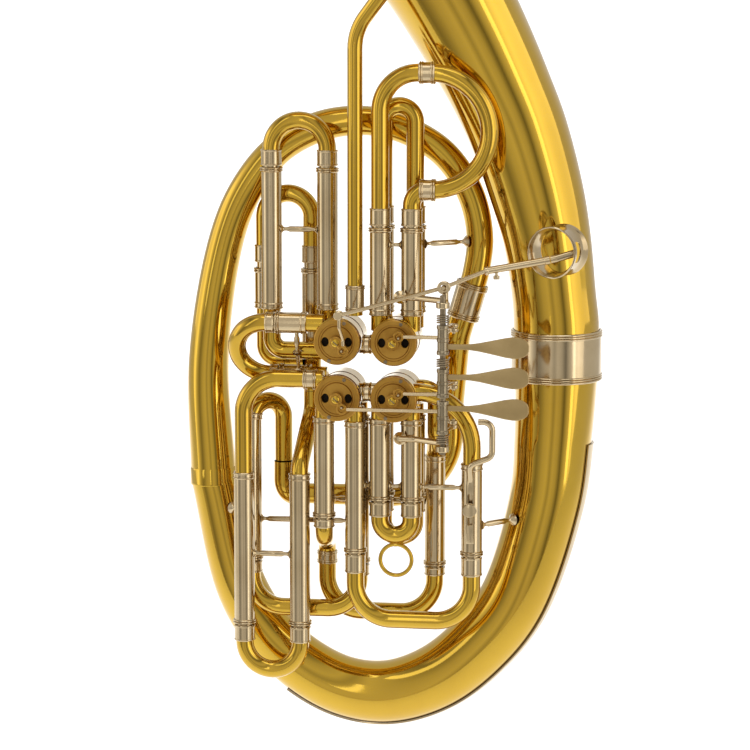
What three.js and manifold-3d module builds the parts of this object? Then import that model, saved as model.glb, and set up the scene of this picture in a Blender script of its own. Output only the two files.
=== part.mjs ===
// Wagner tuba, double in F and B flat: a conical brass tube wound in an oval, with three finger valves,
// a thumb change valve and eleven tuning slides in three decks. Millimetres, +Z up, bell upwards,
// valves towards -Y. The origin is on the bottom of the bow guard, where the tuba rests on the thigh.
import * as THREE from 'three';
import { mergeVertices } from 'three/addons/utils/BufferGeometryUtils.js';
import Module from 'manifold-3d';

const wasm = await Module();
wasm.setup();

// Clearances shared by all pieces
const fit = 0.3;
const overrun = 2;

// Decks: the slides lie in three layers behind each other
const deckFront = -41;
const deckPitch = 18;
const deckMiddle = deckFront + deckPitch;
const deckRear = deckMiddle + deckPitch;
const behindPitch = 16;
const deckBehind = deckRear + behindPitch;

// Valve block: four rotary valves in a square
const valvePitch = 39;
const blockX = -10;
const blockZ = 262;
const portOffset = 10.9;

// Slide tubing
const sleeveRadius = 7.2;
const sleeveBore = 6.6;
const tubeRadius = 6.2;
const tubeBore = 4.9;
const legRadius = 5.7;
const beadRadius = 8.2;
const beadWidth = 1.8;
const elbowRadius = 9.2;
const braceRadius = 1.9;
const tubeSides = 8;

// Valves
const casing = {
  radius: 15.5, wall: 2, front: -50.5, length: 36.5, backWall: 2.4, rimRadius: 16.2, rimLength: 2.8, sides: 16,
};
const spindle = { radius: 3.4, bearingGap: 0.35 };
const plate = {
  radius: 15.8, thickness: 3.9, grooveInner: 10.8, grooveOuter: 12.4, grooveDepth: 0.9,
  holeRadius: 3, holeOffset: 8.6,
};
const rotor = { endGap: 0.5, windwayRadius: 4.6, windwayOffset: 7.6 };
const stopArm = {
  ballRadius: 6.8, thickness: 2.6, hubRadius: 4.4, endRadius: 2.2, gap: 2.4, pinRadius: 1, pinLength: 5.2,
  screwRadius: 2.6, screwHeight: 1.2,
};

// Oval of the main tube: half width and half height of its centre line, and its centre
const oval = { halfWidth: 122.5, halfHeight: 202.3, x: -6.2, z: 226.2 };
const bodyTubeRadius = 28.7;
const tubeWall = 1.4;
// Centre line from the garland down, round the bottom and over the top to the ferrule: across, up, radius
const ovalShares = [
  [1, 0.123, 1],
  [0.985, -0.088, 0.944],
  [0.948, -0.298, 0.902],
  [0.767, -0.654, 0.854],
  [0.57, -0.818, 0.836],
  [0.327, -0.94, 0.815],
  [0.051, -1, 0.78],
  [-0.209, -0.988, 0.746],
  [-0.451, -0.916, 0.714],
  [-0.653, -0.803, 0.672],
  [-0.818, -0.64, 0.634],
  [-0.976, -0.254, 0.564],
  [-1, 0.167, 0.495],
  [-0.89, 0.589, 0.432],
  [-0.769, 0.765, 0.411],
  [-0.59, 0.899, 0.387],
  [-0.342, 0.98, 0.376],
  [-0.094, 1, 0.359],
  [0.131, 0.971, 0.348],
  [0.357, 0.89, 0.341],
  [0.506, 0.757, 0.334],
  [0.562, 0.608, 0.329],
  [0.541, 0.485, 0.329],
  [0.495, 0.388, 0.328],
];
const lapRow = 11;
const mainSides = 14;

// Bell: its tube curves up from the garland, then flares along a straight leaning axis
const bell = {
  rimRadius: 118, flareLength: 290, flareScale: 80, flarePower: 0.7, lean: 29.5, beadRadius: 2.6, sides: 20,
};
const bellShares = [
  [1, 0.295],
  [0.985, 0.403],
  [0.94, 0.612],
  [0.887, 0.752],
  [0.78, 0.961],
  [0.682, 1.1],
  [0.57, 1.238],
  [0.382, 1.446],
];
const bellRadiusShares = [1.04, 1.018, 1.06, 1.12, 1.185, 1.225, 1.29, 1.397];
const garland = { thickness: 1, beadHeight: 0.7, beadWidth: 2.2, beadGap: 1.4 };

function vec(x, y, z) {
  return new THREE.Vector3(x, y, z);
}

// A closed three.js geometry as a solid: only positions are kept, and shared corners are merged
function toSolid(geometry) {
  const bare = new THREE.BufferGeometry();
  bare.setAttribute('position', geometry.getAttribute('position').clone());
  if (geometry.index) {
    bare.setIndex(geometry.index.clone());
  }
  const merged = mergeVertices(bare, 1e-4);
  const index = merged.index.array;
  const triVerts = [];
  for (let i = 0; i < index.length; i += 3) {
    const [a, b, c] = [index[i], index[i + 1], index[i + 2]];
    if (a !== b && b !== c && c !== a) {
      triVerts.push(a, b, c);
    }
  }
  return new wasm.Manifold(new wasm.Mesh({
    numProp: 3,
    vertProperties: new Float32Array(merged.getAttribute('position').array),
    triVerts: new Uint32Array(triVerts),
  }));
}

function toGeometry(solid) {
  const mesh = solid.getMesh();
  const geometry = new THREE.BufferGeometry();
  geometry.setAttribute('position', new THREE.BufferAttribute(new Float32Array(mesh.vertProperties), 3));
  geometry.setIndex(new THREE.BufferAttribute(new Uint32Array(mesh.triVerts), 1));
  geometry.computeVertexNormals();
  return geometry;
}

function union(solids) {
  return solids.reduce((sum, solid) => sum.add(solid));
}

function cut(solid, cutters) {
  return cutters.reduce((rest, cutter) => rest.subtract(cutter), solid);
}

// Any direction square to a tangent, as near to the depth axis as it can be
function squareTo(tangent) {
  const depth = Math.abs(tangent.y) > 0.9 ? vec(1, 0, 0) : vec(0, 1, 0);
  return depth.addScaledVector(tangent, -depth.dot(tangent)).normalize();
}

// Carries a ring's first direction along the run without twist
function carryFrames(marks) {
  let side = squareTo(marks[0].tangent);
  let previous = marks[0].tangent;
  for (const mark of marks) {
    const turn = new THREE.Quaternion().setFromUnitVectors(previous, mark.tangent);
    side = side.clone().applyQuaternion(turn);
    side.addScaledVector(mark.tangent, -side.dot(mark.tangent)).normalize();
    mark.side = side;
    previous = mark.tangent;
  }
  return marks;
}

// A run of tube through corners that are rounded to bend radii: one mark where each ring of the tube lies
const tightBend = 26;
function tubeRun(corners, bends, wideSteps = 3) {
  const marks = [];
  let travelled = 0;
  let here = corners[0].clone();
  const mark = (position, tangent) => {
    travelled += position.distanceTo(here);
    here = position.clone();
    const last = marks[marks.length - 1];
    if (!last || position.distanceTo(last.position) > fit / overrun) {
      marks.push({ position: here, tangent: tangent.clone(), distance: travelled });
    }
  };
  mark(corners[0], corners[1].clone().sub(corners[0]).normalize());
  for (let i = 1; i < corners.length - 1; i += 1) {
    const into = corners[i].clone().sub(corners[i - 1]).normalize();
    const out = corners[i + 1].clone().sub(corners[i]).normalize();
    const angle = into.angleTo(out);
    const radius = Array.isArray(bends) ? bends[i - 1] : bends;
    const axis = into.clone().cross(out).normalize();
    const start = corners[i].clone().addScaledVector(into, -radius * Math.tan(angle / 2));
    const centre = start.clone().addScaledVector(axis.clone().cross(into), radius);
    const quarterSteps = radius < tightBend ? 2 : wideSteps;
    const steps = Math.max(1, Math.round((angle / (Math.PI / 2)) * quarterSteps));
    for (let k = 0; k <= steps; k += 1) {
      const turn = (angle * k) / steps;
      const arm = start.clone().sub(centre).applyAxisAngle(axis, turn);
      mark(centre.clone().add(arm), into.clone().applyAxisAngle(axis, turn));
    }
  }
  const end = corners[corners.length - 1];
  mark(end, end.clone().sub(corners[corners.length - 2]).normalize());
  return carryFrames(marks);
}

function runLength(marks) {
  return marks[marks.length - 1].distance;
}

// The place on a run at a distance from its start
function alongRun(marks, distance) {
  let i = 0;
  while (i < marks.length - 2 && marks[i + 1].distance <= distance) {
    i += 1;
  }
  const [a, b] = [marks[i], marks[i + 1]];
  const share = (distance - a.distance) / (b.distance - a.distance);
  const onBend = share > 0.5 ? b : a;
  return {
    position: a.position.clone().lerp(b.position, share),
    tangent: onBend.tangent,
    side: onBend.side,
  };
}

// Rings of a run under a stepped profile of [distance, radius] pairs
function ringsOf(marks, profile) {
  const rings = [];
  profile.forEach(([distance, radius], i) => {
    rings.push({ ...alongRun(marks, distance), radius });
    const next = profile[i + 1];
    if (!next) {
      return;
    }
    for (const mark of marks) {
      if (mark.distance > distance + fit && mark.distance < next[0] - fit) {
        const share = (mark.distance - distance) / (next[0] - distance);
        rings.push({ ...mark, radius: radius + (next[1] - radius) * share });
      }
    }
  });
  return rings;
}

function ringPoints(ring, sides) {
  const across = ring.tangent.clone().cross(ring.side);
  const points = [];
  for (let k = 0; k < sides; k += 1) {
    const angle = (2 * Math.PI * k) / sides;
    points.push(ring.position.clone()
      .addScaledVector(ring.side, ring.radius * Math.cos(angle))
      .addScaledVector(across, ring.radius * Math.sin(angle)));
  }
  return points;
}

// A tube of changing section: outer rings, and bore rings where it is hollow
function loft(outerRings, boreRings, sides) {
  const positions = [];
  const index = [];
  const addRings = (rings) => {
    const first = positions.length / 3;
    rings.forEach((ring) => ringPoints(ring, sides).forEach((p) => positions.push(p.x, p.y, p.z)));
    return first;
  };
  const outer = addRings(outerRings);
  const quad = (a, b, c, d) => index.push(a, b, c, a, c, d);
  for (let r = 0; r < outerRings.length - 1; r += 1) {
    for (let k = 0; k < sides; k += 1) {
      const n = (k + 1) % sides;
      const row = outer + r * sides;
      quad(row + k, row + n, row + sides + n, row + sides + k);
    }
  }
  const outerEnd = outer + (outerRings.length - 1) * sides;
  if (boreRings) {
    const bore = addRings(boreRings);
    const boreEnd = bore + (boreRings.length - 1) * sides;
    for (let k = 0; k < sides; k += 1) {
      const n = (k + 1) % sides;
      for (let r = 0; r < boreRings.length - 1; r += 1) {
        const row = bore + r * sides;
        quad(row + n, row + k, row + sides + k, row + sides + n);
      }
      quad(outer + n, outer + k, bore + k, bore + n);
      quad(outerEnd + k, outerEnd + n, boreEnd + n, boreEnd + k);
    }
  } else {
    for (let k = 1; k < sides - 1; k += 1) {
      index.push(outer, outer + k + 1, outer + k);
      index.push(outerEnd, outerEnd + k, outerEnd + k + 1);
    }
  }
  const geometry = new THREE.BufferGeometry();
  geometry.setAttribute('position', new THREE.Float32BufferAttribute(positions, 3));
  geometry.setIndex(index);
  return toSolid(geometry);
}

function tube(marks, outerProfile, boreProfile, sides = tubeSides) {
  return loft(ringsOf(marks, outerProfile), boreProfile && ringsOf(marks, boreProfile), sides);
}

// A solid rod through corners
function rod(corners, radius, bends = 0, sides = 6) {
  const marks = tubeRun(corners, bends, 2);
  return tube(marks, [[0, radius], [runLength(marks), radius]], null, sides);
}

// A turned piece: a closed [radius, height] profile about an axis through a point
function turned(profile, centre, axis, sides) {
  const points = profile.map(([radius, height]) => new THREE.Vector2(radius, height));
  if (profile[0][0] > 0) {
    points.push(points[0].clone());
  }
  const geometry = new THREE.LatheGeometry(points, sides);
  geometry.applyQuaternion(new THREE.Quaternion().setFromUnitVectors(vec(0, 1, 0), axis));
  geometry.translate(centre.x, centre.y, centre.z);
  return toSolid(geometry);
}

function disc(centre, axis, radius, height, sides) {
  return turned([[0, 0], [radius, 0], [radius, height], [0, height]], centre, axis, sides);
}

function ringPiece(centre, axis, inner, outer, height, sides) {
  return turned([[inner, 0], [outer, 0], [outer, height], [inner, height]], centre, axis, sides);
}

const unitZ = vec(0, 0, 1);
const toPlayer = vec(0, -1, 0);
const toRear = vec(0, 1, 0);

const part = new THREE.Group();
part.name = 'wagner_tuba';
const pieces = new Map();
const colours = {
  brass: [0xd8a640, 0.22, 1],
  nickel: [0xd9d6cc, 0.25, 1],
  gold: [0xb07a28, 0.45, 1],
  satin: [0x8a7038, 0.5, 1],
  steel: [0x9a9a9a, 0.35, 1],
};

function add(name, solid, look) {
  const [color, roughness, metalness] = colours[look];
  const material = new THREE.MeshStandardMaterial({ color, roughness, metalness });
  material.name = look;
  const mesh = new THREE.Mesh(toGeometry(solid), material);
  mesh.name = name;
  part.add(mesh);
  pieces.set(name, solid);
}

// Main tube: the lower bow and the upper branch
function onOval([across, up]) {
  return vec(oval.x + oval.halfWidth * across, 0, oval.z + oval.halfHeight * up);
}

// Marks through given centres, each with the mean direction of its neighbours
function marksThrough(centres, endDirection) {
  const marks = centres.map((position, i) => {
    if (endDirection && i === centres.length - 1) {
      return { position, tangent: endDirection };
    }
    const before = centres[Math.max(0, i - 1)];
    const after = centres[Math.min(centres.length - 1, i + 1)];
    return { position, tangent: after.clone().sub(before).normalize() };
  });
  return carryFrames(marks);
}

function coneTube(centres, radii, wall, sides, endDirection) {
  const marks = marksThrough(centres, endDirection);
  const outer = marks.map((mark, i) => ({ ...mark, radius: radii[i] }));
  const bore = marks.map((mark, i) => ({ ...mark, radius: radii[i] - wall }));
  return loft(outer, bore, sides);
}

const garlandZ = oval.z + oval.halfHeight * (ovalShares[0][1] + bellShares[0][1]) / 2;
const garlandRadius = bodyTubeRadius * (ovalShares[0][2] + bellRadiusShares[0]) / 2;
const sideX = oval.x + oval.halfWidth;

const lapCentre = onOval(ovalShares[lapRow]);
const lapAbove = onOval(ovalShares[lapRow + 1]);
const lapDirection = lapAbove.clone().sub(lapCentre).normalize();
const bowCentres = ovalShares.slice(0, lapRow + 1).map(onOval);
const bowRadii = ovalShares.slice(0, lapRow + 1).map(([, , share]) => bodyTubeRadius * share);
bowCentres.unshift(vec(sideX, 0, garlandZ - fit / 2));
bowRadii.unshift(garlandRadius);
const bottomBow = coneTube(bowCentres, bowRadii, tubeWall, mainSides, lapDirection);

// The upper branch starts in a wider socket ring one fit above the bow's end and ends in the ferrule
const branchRows = ovalShares.slice(lapRow + 1);
const branchCentres = branchRows.map(onOval);
const branchRadii = branchRows.map(([, , share]) => bodyTubeRadius * share);
branchCentres.unshift(lapCentre.clone().addScaledVector(lapDirection, fit));
branchRadii.unshift(bodyTubeRadius * ovalShares[lapRow][2]);
const upperBranch = coneTube(branchCentres, branchRadii, tubeWall, 12);

// Bell
const bellCentres = bellShares.map(onOval);
const bellRadii = bellRadiusShares.map((share) => bodyTubeRadius * share);
bellCentres.unshift(vec(sideX, 0, garlandZ + fit / 2));
bellRadii.unshift(garlandRadius);
const lean = THREE.MathUtils.degToRad(bell.lean);
const bellAxis = vec(-Math.sin(lean), 0, Math.cos(lean));
const neck = bellCentres[bellCentres.length - 1];
const flareStepShares = [0.17, 0.34, 0.5, 0.64, 0.76, 0.86, 0.94, 1];
for (const share of flareStepShares) {
  bellCentres.push(neck.clone().addScaledVector(bellAxis, bell.flareLength * share));
  const toGo = bell.flareLength * (1 - share) + bell.flareScale;
  bellRadii.push(bell.rimRadius * (bell.flareScale / toGo) ** bell.flarePower);
}
// The rim's rolled bead: three rings outside the flare's last ring
const bellRim = neck.clone().addScaledVector(bellAxis, bell.flareLength);
const bellMarks = marksThrough(bellCentres, bellAxis);
const bellOuter = bellMarks.map((mark, i) => ({ ...mark, radius: bellRadii[i] }));
const bellBore = bellMarks.map((mark, i) => ({ ...mark, radius: bellRadii[i] - tubeWall }));
const rimMark = bellOuter.pop();
const beadShares = [[-1, 0.4], [0, 1], [1, 0.4]];
for (const [along, out] of beadShares) {
  bellOuter.push({
    ...rimMark,
    position: bellRim.clone().addScaledVector(bellAxis, (along - 1) * bell.beadRadius),
    radius: bell.rimRadius + out * bell.beadRadius,
  });
}
add('bell', loft(bellOuter, bellBore, bell.sides), 'brass');
add('bottom_bow', bottomBow, 'brass');
add('upper_branch', upperBranch, 'brass');

const garlandInner = bodyTubeRadius * bellRadiusShares[0] + fit;
const garlandOuter = garlandInner + garland.thickness;
const garlandLow = oval.z + oval.halfHeight * ovalShares[0][1];
const garlandHeight = oval.halfHeight * (bellShares[0][1] - ovalShares[0][1]);
const garlandBead = garlandOuter + garland.beadHeight;
add('bell_garland', turned([
  [garlandInner, 0],
  [garlandBead, 0],
  [garlandBead, garland.beadWidth],
  [garlandOuter, garland.beadWidth + garland.beadGap],
  [garlandOuter, garlandHeight - garland.beadWidth - garland.beadGap],
  [garlandBead, garlandHeight - garland.beadWidth],
  [garlandBead, garlandHeight],
  [garlandInner, garlandHeight],
], vec(sideX, 0, garlandLow), unitZ, bell.sides), 'nickel');

// Tail branch: from the ferrule down behind the slides, round and across to the rear slide
const tail = { x: 42, cornerZ: 163, leftX: -74.6, topZ: 189, radius: 6.9, arcRadius: 45, bendRadius: 13 };
const ferrule = { radius: 10.4, bore: 9.9, length: 26 };
const branchEnd = onOval(ovalShares[ovalShares.length - 1]);
const branchBefore = onOval(ovalShares[ovalShares.length - 2]);
const branchDirection = branchEnd.clone().sub(branchBefore).normalize();
const ferruleEnd = branchEnd.clone().addScaledVector(branchDirection, ferrule.length);
const tailCorners = [
  branchEnd.clone().addScaledVector(branchDirection, fit),
  ferruleEnd,
  vec(tail.x, deckBehind, ferruleEnd.z - 2 * ferrule.length),
  vec(tail.x, deckBehind, tail.cornerZ),
  vec(tail.leftX + tail.bendRadius, deckBehind, tail.cornerZ),
  vec(tail.leftX, deckRear, tail.cornerZ),
  vec(tail.leftX, deckRear, tail.topZ),
];
const tailBends = [ferrule.length, ferrule.length, tail.arcRadius, tail.bendRadius / 2, tail.bendRadius];
const tailRun = tubeRun(tailCorners, tailBends, 4);
const tailStart = bodyTubeRadius * ovalShares[ovalShares.length - 1][2];
add('tail_branch', tube(
  tailRun,
  [[0, tailStart], [runLength(tailRun), tail.radius]],
  [[0, tailStart - tubeWall], [runLength(tailRun), tubeBore]],
  10,
), 'brass');

const ferruleRun = tubeRun([
  branchEnd.clone().addScaledVector(branchDirection, -ferrule.length / 2),
  branchEnd.clone().addScaledVector(branchDirection, ferrule.length / 2),
], 0);
const ferruleBead = ferrule.radius + garland.beadHeight;
const ferruleLength = runLength(ferruleRun);
add('branch_ferrule', tube(ferruleRun, [
  [0, ferruleBead + fit],
  [beadWidth, ferruleBead + fit],
  [beadWidth, ferrule.radius + fit],
  [ferruleLength - beadWidth, ferrule.radius + fit],
  [ferruleLength - beadWidth, ferruleBead],
  [ferruleLength, ferruleBead],
], [[0, ferrule.bore + fit], [ferruleLength, ferrule.bore]], 12), 'nickel');

// Bow guard: a strip soldered outside the lower bow
const guard = { thickness: 1.2, halfAngle: 24, wall: 1.2, firstRow: 1, lastRow: 9 };
function guardStrip() {
  const rows = ovalShares.slice(guard.firstRow, guard.lastRow);
  const marks = marksThrough(rows.map(onOval));
  const positions = [];
  const index = [];
  const angles = [-guard.halfAngle, 0, guard.halfAngle].map(THREE.MathUtils.degToRad);
  marks.forEach((mark, i) => {
    const outward = mark.tangent.clone().cross(toRear);
    const inner = bodyTubeRadius * rows[i][2] + fit;
    for (const radius of [inner, inner + guard.thickness]) {
      for (const angle of angles) {
        const p = mark.position.clone()
          .addScaledVector(outward, radius * Math.cos(angle))
          .addScaledVector(toRear, radius * Math.sin(angle));
        positions.push(p.x, p.y, p.z);
      }
    }
  });
  const loop = [0, 1, 2, 5, 4, 3];
  const row = loop.length;
  for (let i = 0; i < marks.length - 1; i += 1) {
    loop.forEach((corner, k) => {
      const next = loop[(k + 1) % row];
      const [a, b, c, d] = [i * row + corner, i * row + next, (i + 1) * row + next, (i + 1) * row + corner];
      index.push(a, b, c, a, c, d);
    });
  }
  const last = (marks.length - 1) * row;
  for (const k of [0, 1]) {
    index.push(k, k + 3, k + 4, k, k + 4, k + 1);
    index.push(last + k, last + k + 4, last + k + 3, last + k, last + k + 1, last + k + 4);
  }
  const geometry = new THREE.BufferGeometry();
  geometry.setAttribute('position', new THREE.Float32BufferAttribute(positions, 3));
  geometry.setIndex(index);
  return toSolid(geometry);
}
const bowRoomMarks = marksThrough(bowCentres, lapDirection);
const bowRoom = loft(bowRoomMarks.map((mark, i) => ({ ...mark, radius: bowRadii[i] + fit })), null, mainSides);
add('bow_guard', cut(guardStrip(), [bowRoom]), 'nickel');

// Braces from the slides to the body tube end in a flared foot that follows its surface
const branchRoomMarks = marksThrough(branchCentres, branchDirection);
const branchRoom = loft(branchRoomMarks.map((mark, i) => ({ ...mark, radius: branchRadii[i] + fit })), null, 12);
const foot = { radius: 4.4, height: 5, sides: 8 };
function bodyBrace(from, centres, radii, room) {
  const heights = centres.filter((centre) => Math.sign(centre.x) === Math.sign(from.x)).map((centre) => centre.z);
  const level = THREE.MathUtils.clamp(from.z, Math.min(...heights) + foot.radius, Math.max(...heights) - foot.radius);
  const row = centres.findIndex((centre, i) => i + 1 < centres.length
    && Math.sign(centre.x) === Math.sign(from.x)
    && (centre.z - level) * (centres[i + 1].z - level) <= 0);
  const share = (level - centres[row].z) / (centres[row + 1].z - centres[row].z);
  const target = centres[row].clone().lerp(centres[row + 1], share);
  const bodyRadius = THREE.MathUtils.lerp(radii[row], radii[row + 1], share);
  const along = target.clone().sub(from).normalize();
  const footStart = target.clone().addScaledVector(along, -bodyRadius - foot.height);
  return cut(union([
    rod([from, target], braceRadius),
    turned([[0, 0], [braceRadius, 0], [foot.radius, foot.height], [foot.radius, 2 * foot.height], [0, 2 * foot.height]],
      footStart, along, foot.sides),
  ]), [room]);
}

// Valve axes: the thumb valve and the first above, the third and the second below
const half = valvePitch / 2;
const axisOf = {
  thumb: vec(blockX - half, 0, blockZ + half),
  first: vec(blockX + half, 0, blockZ + half),
  third: vec(blockX - half, 0, blockZ - half),
  second: vec(blockX + half, 0, blockZ - half),
};
const casingBack = casing.front + casing.length;
const roomRadius = (casing.radius + fit) / Math.cos(Math.PI / casing.sides);
const valveRooms = Object.values(axisOf).map((axis) => disc(
  vec(axis.x, casing.front - overrun * plate.thickness, axis.z),
  toRear,
  roomRadius,
  casing.length + overrun * plate.thickness + fit,
  casing.sides,
));

// Slides: sleeves are fixed, crooks slide in them. A port is a valve axis with a side and a deck.
const [left, right] = [-portOffset, portOffset];
const portEnd = 7;
const crooks = {};
const ports = [];

// A fixed tube from a sleeve's mouth to its far end
function sleeve(corners, bends, length) {
  const marks = tubeRun(corners, bends);
  const end = runLength(marks);
  const outer = [[0, beadRadius], [beadWidth, beadRadius], [beadWidth, sleeveRadius]];
  const bore = [[0, sleeveBore]];
  const shown = Math.min(length, end);
  outer.push([shown, sleeveRadius]);
  bore.push([shown - beadWidth, sleeveBore], [shown - beadWidth, tubeBore]);
  if (shown < end) {
    outer.push([shown, tubeRadius], [end, tubeRadius]);
  }
  bore.push([end, tubeBore]);
  ports.push(tube(marks, [[0, tubeBore], [end, tubeBore]], null));
  const inside = tube(marks, bore, null);
  const whole = cut(tube(marks, outer, null), valveRooms);
  return { whole, inside };
}

// One soldered set: sleeves with their bores kept clear of the braces
function addSleeves(name, sleeves, braces) {
  const outside = union([...sleeves.map(({ whole }) => whole), ...braces]);
  add(name, cut(outside, sleeves.map(({ inside }) => inside)), 'nickel');
}

// A crook: its legs stand in both sleeves, a ferrule follows each leg outside the mouth
function crook(corners, bends, depthA, depthB, slide) {
  const marks = tubeRun(corners, bends);
  const end = runLength(marks);
  const [stub, ring] = [slide.stub, slide.ring];
  return tube(marks, [
    [0, legRadius],
    [depthA + stub, legRadius],
    [depthA + stub, sleeveRadius],
    [depthA + stub + ring, sleeveRadius],
    [depthA + stub + ring, tubeRadius],
    [end - depthB - stub - ring, tubeRadius],
    [end - depthB - stub - ring, sleeveRadius],
    [end - depthB - stub, sleeveRadius],
    [end - depthB - stub, legRadius],
    [end, legRadius],
  ], [[0, tubeBore], [end, tubeBore]]);
}

function brace(a, b) {
  return rod([a, b], braceRadius);
}

const depth = 34;
const shortDepth = 22;

// Thumb valve, front slide
const thumbX = axisOf.thumb.x;
const topFront = { x: thumbX + left, pitch: 39, mouth: 398, top: 430, sleeve: 98, stub: 1, ring: 11, braceDrop: 43 };
const topFrontLeft = topFront.x - topFront.pitch;
const elbowZ = axisOf.thumb.z + left;
addSleeves('slide_1_sleeves', [
  sleeve([vec(topFront.x, deckMiddle, topFront.mouth), vec(topFront.x, deckMiddle, axisOf.thumb.z + portEnd)], 0,
    topFront.sleeve),
  sleeve([
    vec(topFrontLeft, deckMiddle, topFront.mouth),
    vec(topFrontLeft, deckMiddle, elbowZ),
    vec(thumbX - portEnd, deckMiddle, elbowZ),
  ], elbowRadius, topFront.sleeve),
], [
  brace(
    vec(topFront.x - sleeveBore - fit, deckMiddle, topFront.mouth - topFront.braceDrop),
    vec(topFrontLeft + sleeveBore + fit, deckMiddle, topFront.mouth - topFront.braceDrop),
  ),
]);
crooks.slide_1_crook = crook([
  vec(topFront.x, deckMiddle, topFront.mouth - depth),
  vec(topFront.x, deckMiddle, topFront.top),
  vec(topFrontLeft, deckMiddle, topFront.top),
  vec(topFrontLeft, deckMiddle, topFront.mouth - depth),
], topFront.pitch / 2, depth, depth, topFront);

// Thumb valve, rear slide: its right leg runs down to the third valve's slide
const topRear = {
  leftX: -87.3, rightX: -54.1, mouth: 326, top: 378, sleeve: 56, stub: 4, ring: 12, crossZ: 262, lowZ: 240,
};
addSleeves('slide_2_sleeves', [
  sleeve([vec(topRear.rightX, deckRear, topRear.mouth), vec(topRear.rightX, deckRear, topRear.lowZ)], 0,
    topRear.sleeve),
  sleeve([
    vec(topRear.leftX, deckRear, topRear.mouth),
    vec(topRear.leftX, deckRear, topRear.crossZ),
    vec(topRear.rightX - (tubeRadius + tubeBore) / 2, deckRear, topRear.crossZ),
  ], elbowRadius, topRear.sleeve / 2),
], []);
crooks.slide_2_crook = crook([
  vec(topRear.leftX, deckRear, topRear.mouth - shortDepth),
  vec(topRear.leftX, deckRear, topRear.top),
  vec(topRear.rightX, deckRear, topRear.top),
  vec(topRear.rightX, deckRear, topRear.mouth - shortDepth),
], (topRear.rightX - topRear.leftX) / 2, shortDepth, shortDepth, topRear);

// Left slide between the thumb valve in front and the third valve behind it
const side = { mouth: -74, archX: -81, stub: 0.6, ring: 6 };
const sideTop = axisOf.thumb.z + right;
const sideLow = axisOf.third.z + right;
const sideReach = Math.hypot(sideTop - sideLow, deckPitch) / 2;
const sideDepth = 17;
const sideBraceX = -60;
addSleeves('slide_3_sleeves', [
  sleeve([vec(side.mouth, deckFront, sideTop), vec(thumbX - portEnd, deckFront, sideTop)], 0, 2 * portOffset),
  sleeve([vec(side.mouth, deckMiddle, sideLow), vec(thumbX - portEnd, deckMiddle, sideLow)], 0, 2 * portOffset),
], [
  rod([
    vec(sideBraceX, deckFront + tubeRadius / 2, sideTop - tubeRadius + braceRadius / 2),
    vec(sideBraceX, deckFront + tubeRadius, sideLow + portOffset),
    vec(sideBraceX, deckMiddle - tubeRadius / 2, sideLow + tubeRadius - braceRadius / 2),
  ], braceRadius, braceRadius),
]);
const sideArch = side.archX - sideReach;
crooks.slide_3_crook = crook([
  vec(side.mouth + sideDepth, deckFront, sideTop),
  vec(sideArch, deckFront, sideTop),
  vec(sideArch, deckMiddle, sideLow),
  vec(side.mouth + sideDepth, deckMiddle, sideLow),
], sideReach, sideDepth, sideDepth, side);

// Third valve, left slide downwards: its right leg runs back up to the rear slide of the thumb valve
const longLeft = {
  leftX: -96.7, rightX: -57.5, mouth: 80, bottom: 47.5, sleeve: 107, bend: 24.5, stub: 1, ring: 11,
  riseZ: 192, joinZ: 226, braceRise: 50,
};
const longPitch = longLeft.rightX - longLeft.leftX;
addSleeves('slide_4_sleeves', [
  sleeve([
    vec(longLeft.leftX, deckFront, longLeft.mouth),
    vec(longLeft.leftX, deckFront, sideLow),
    vec(axisOf.third.x - portEnd, deckFront, sideLow),
  ], longLeft.bend, longLeft.sleeve),
  sleeve([
    vec(longLeft.rightX, deckFront, longLeft.mouth),
    vec(longLeft.rightX, deckFront, longLeft.riseZ),
    vec(topRear.rightX, deckRear, longLeft.joinZ),
    vec(topRear.rightX, deckRear, topRear.lowZ - fit),
  ], portOffset, longLeft.sleeve),
], [
  brace(
    vec(longLeft.leftX + sleeveBore + fit, deckFront, longLeft.mouth + longLeft.braceRise),
    vec(longLeft.rightX - sleeveBore - fit, deckFront, longLeft.mouth + longLeft.braceRise),
  ),
]);
crooks.slide_4_crook = crook([
  vec(longLeft.leftX, deckFront, longLeft.mouth + depth),
  vec(longLeft.leftX, deckFront, longLeft.bottom),
  vec(longLeft.rightX, deckFront, longLeft.bottom),
  vec(longLeft.rightX, deckFront, longLeft.mouth + depth),
], longPitch / 2, depth, depth, longLeft);

// Third valve, wide slide downwards in the middle deck
const wide = {
  leftX: -94.5, turnX: -74.6, mouth: 122, bottom: 88.3, bend: 22, sleeve: 104, topZ: 233.2, endZ: 190, stub: 1,
  ring: 8, braceRise: 29, bodyBraceRise: 34,
};
const wideRightX = axisOf.third.x + right;
const wideBend = Math.hypot(wide.turnX - wide.leftX, deckPitch) / 2;
addSleeves('slide_5_sleeves', [
  sleeve([
    vec(wide.leftX, deckMiddle, wide.mouth),
    vec(wide.leftX, deckMiddle, wide.topZ),
    vec(wide.turnX, deckRear, wide.topZ),
    vec(wide.turnX, deckRear, wide.endZ),
  ], wideBend, wide.sleeve / 2),
  sleeve([
    vec(wideRightX, deckMiddle, wide.mouth),
    vec(wideRightX, deckMiddle, axisOf.third.z - portEnd),
  ], 0, wide.sleeve / 2),
], [
  brace(
    vec(wide.leftX + sleeveBore + fit, deckMiddle, wide.mouth + wide.braceRise),
    vec(wideRightX - sleeveBore - fit, deckMiddle, wide.mouth + wide.braceRise),
  ),
  bodyBrace(vec(wide.leftX - sleeveBore - fit, deckMiddle, wide.mouth + wide.bodyBraceRise), bowCentres, bowRadii,
    bowRoom),
]);
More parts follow.
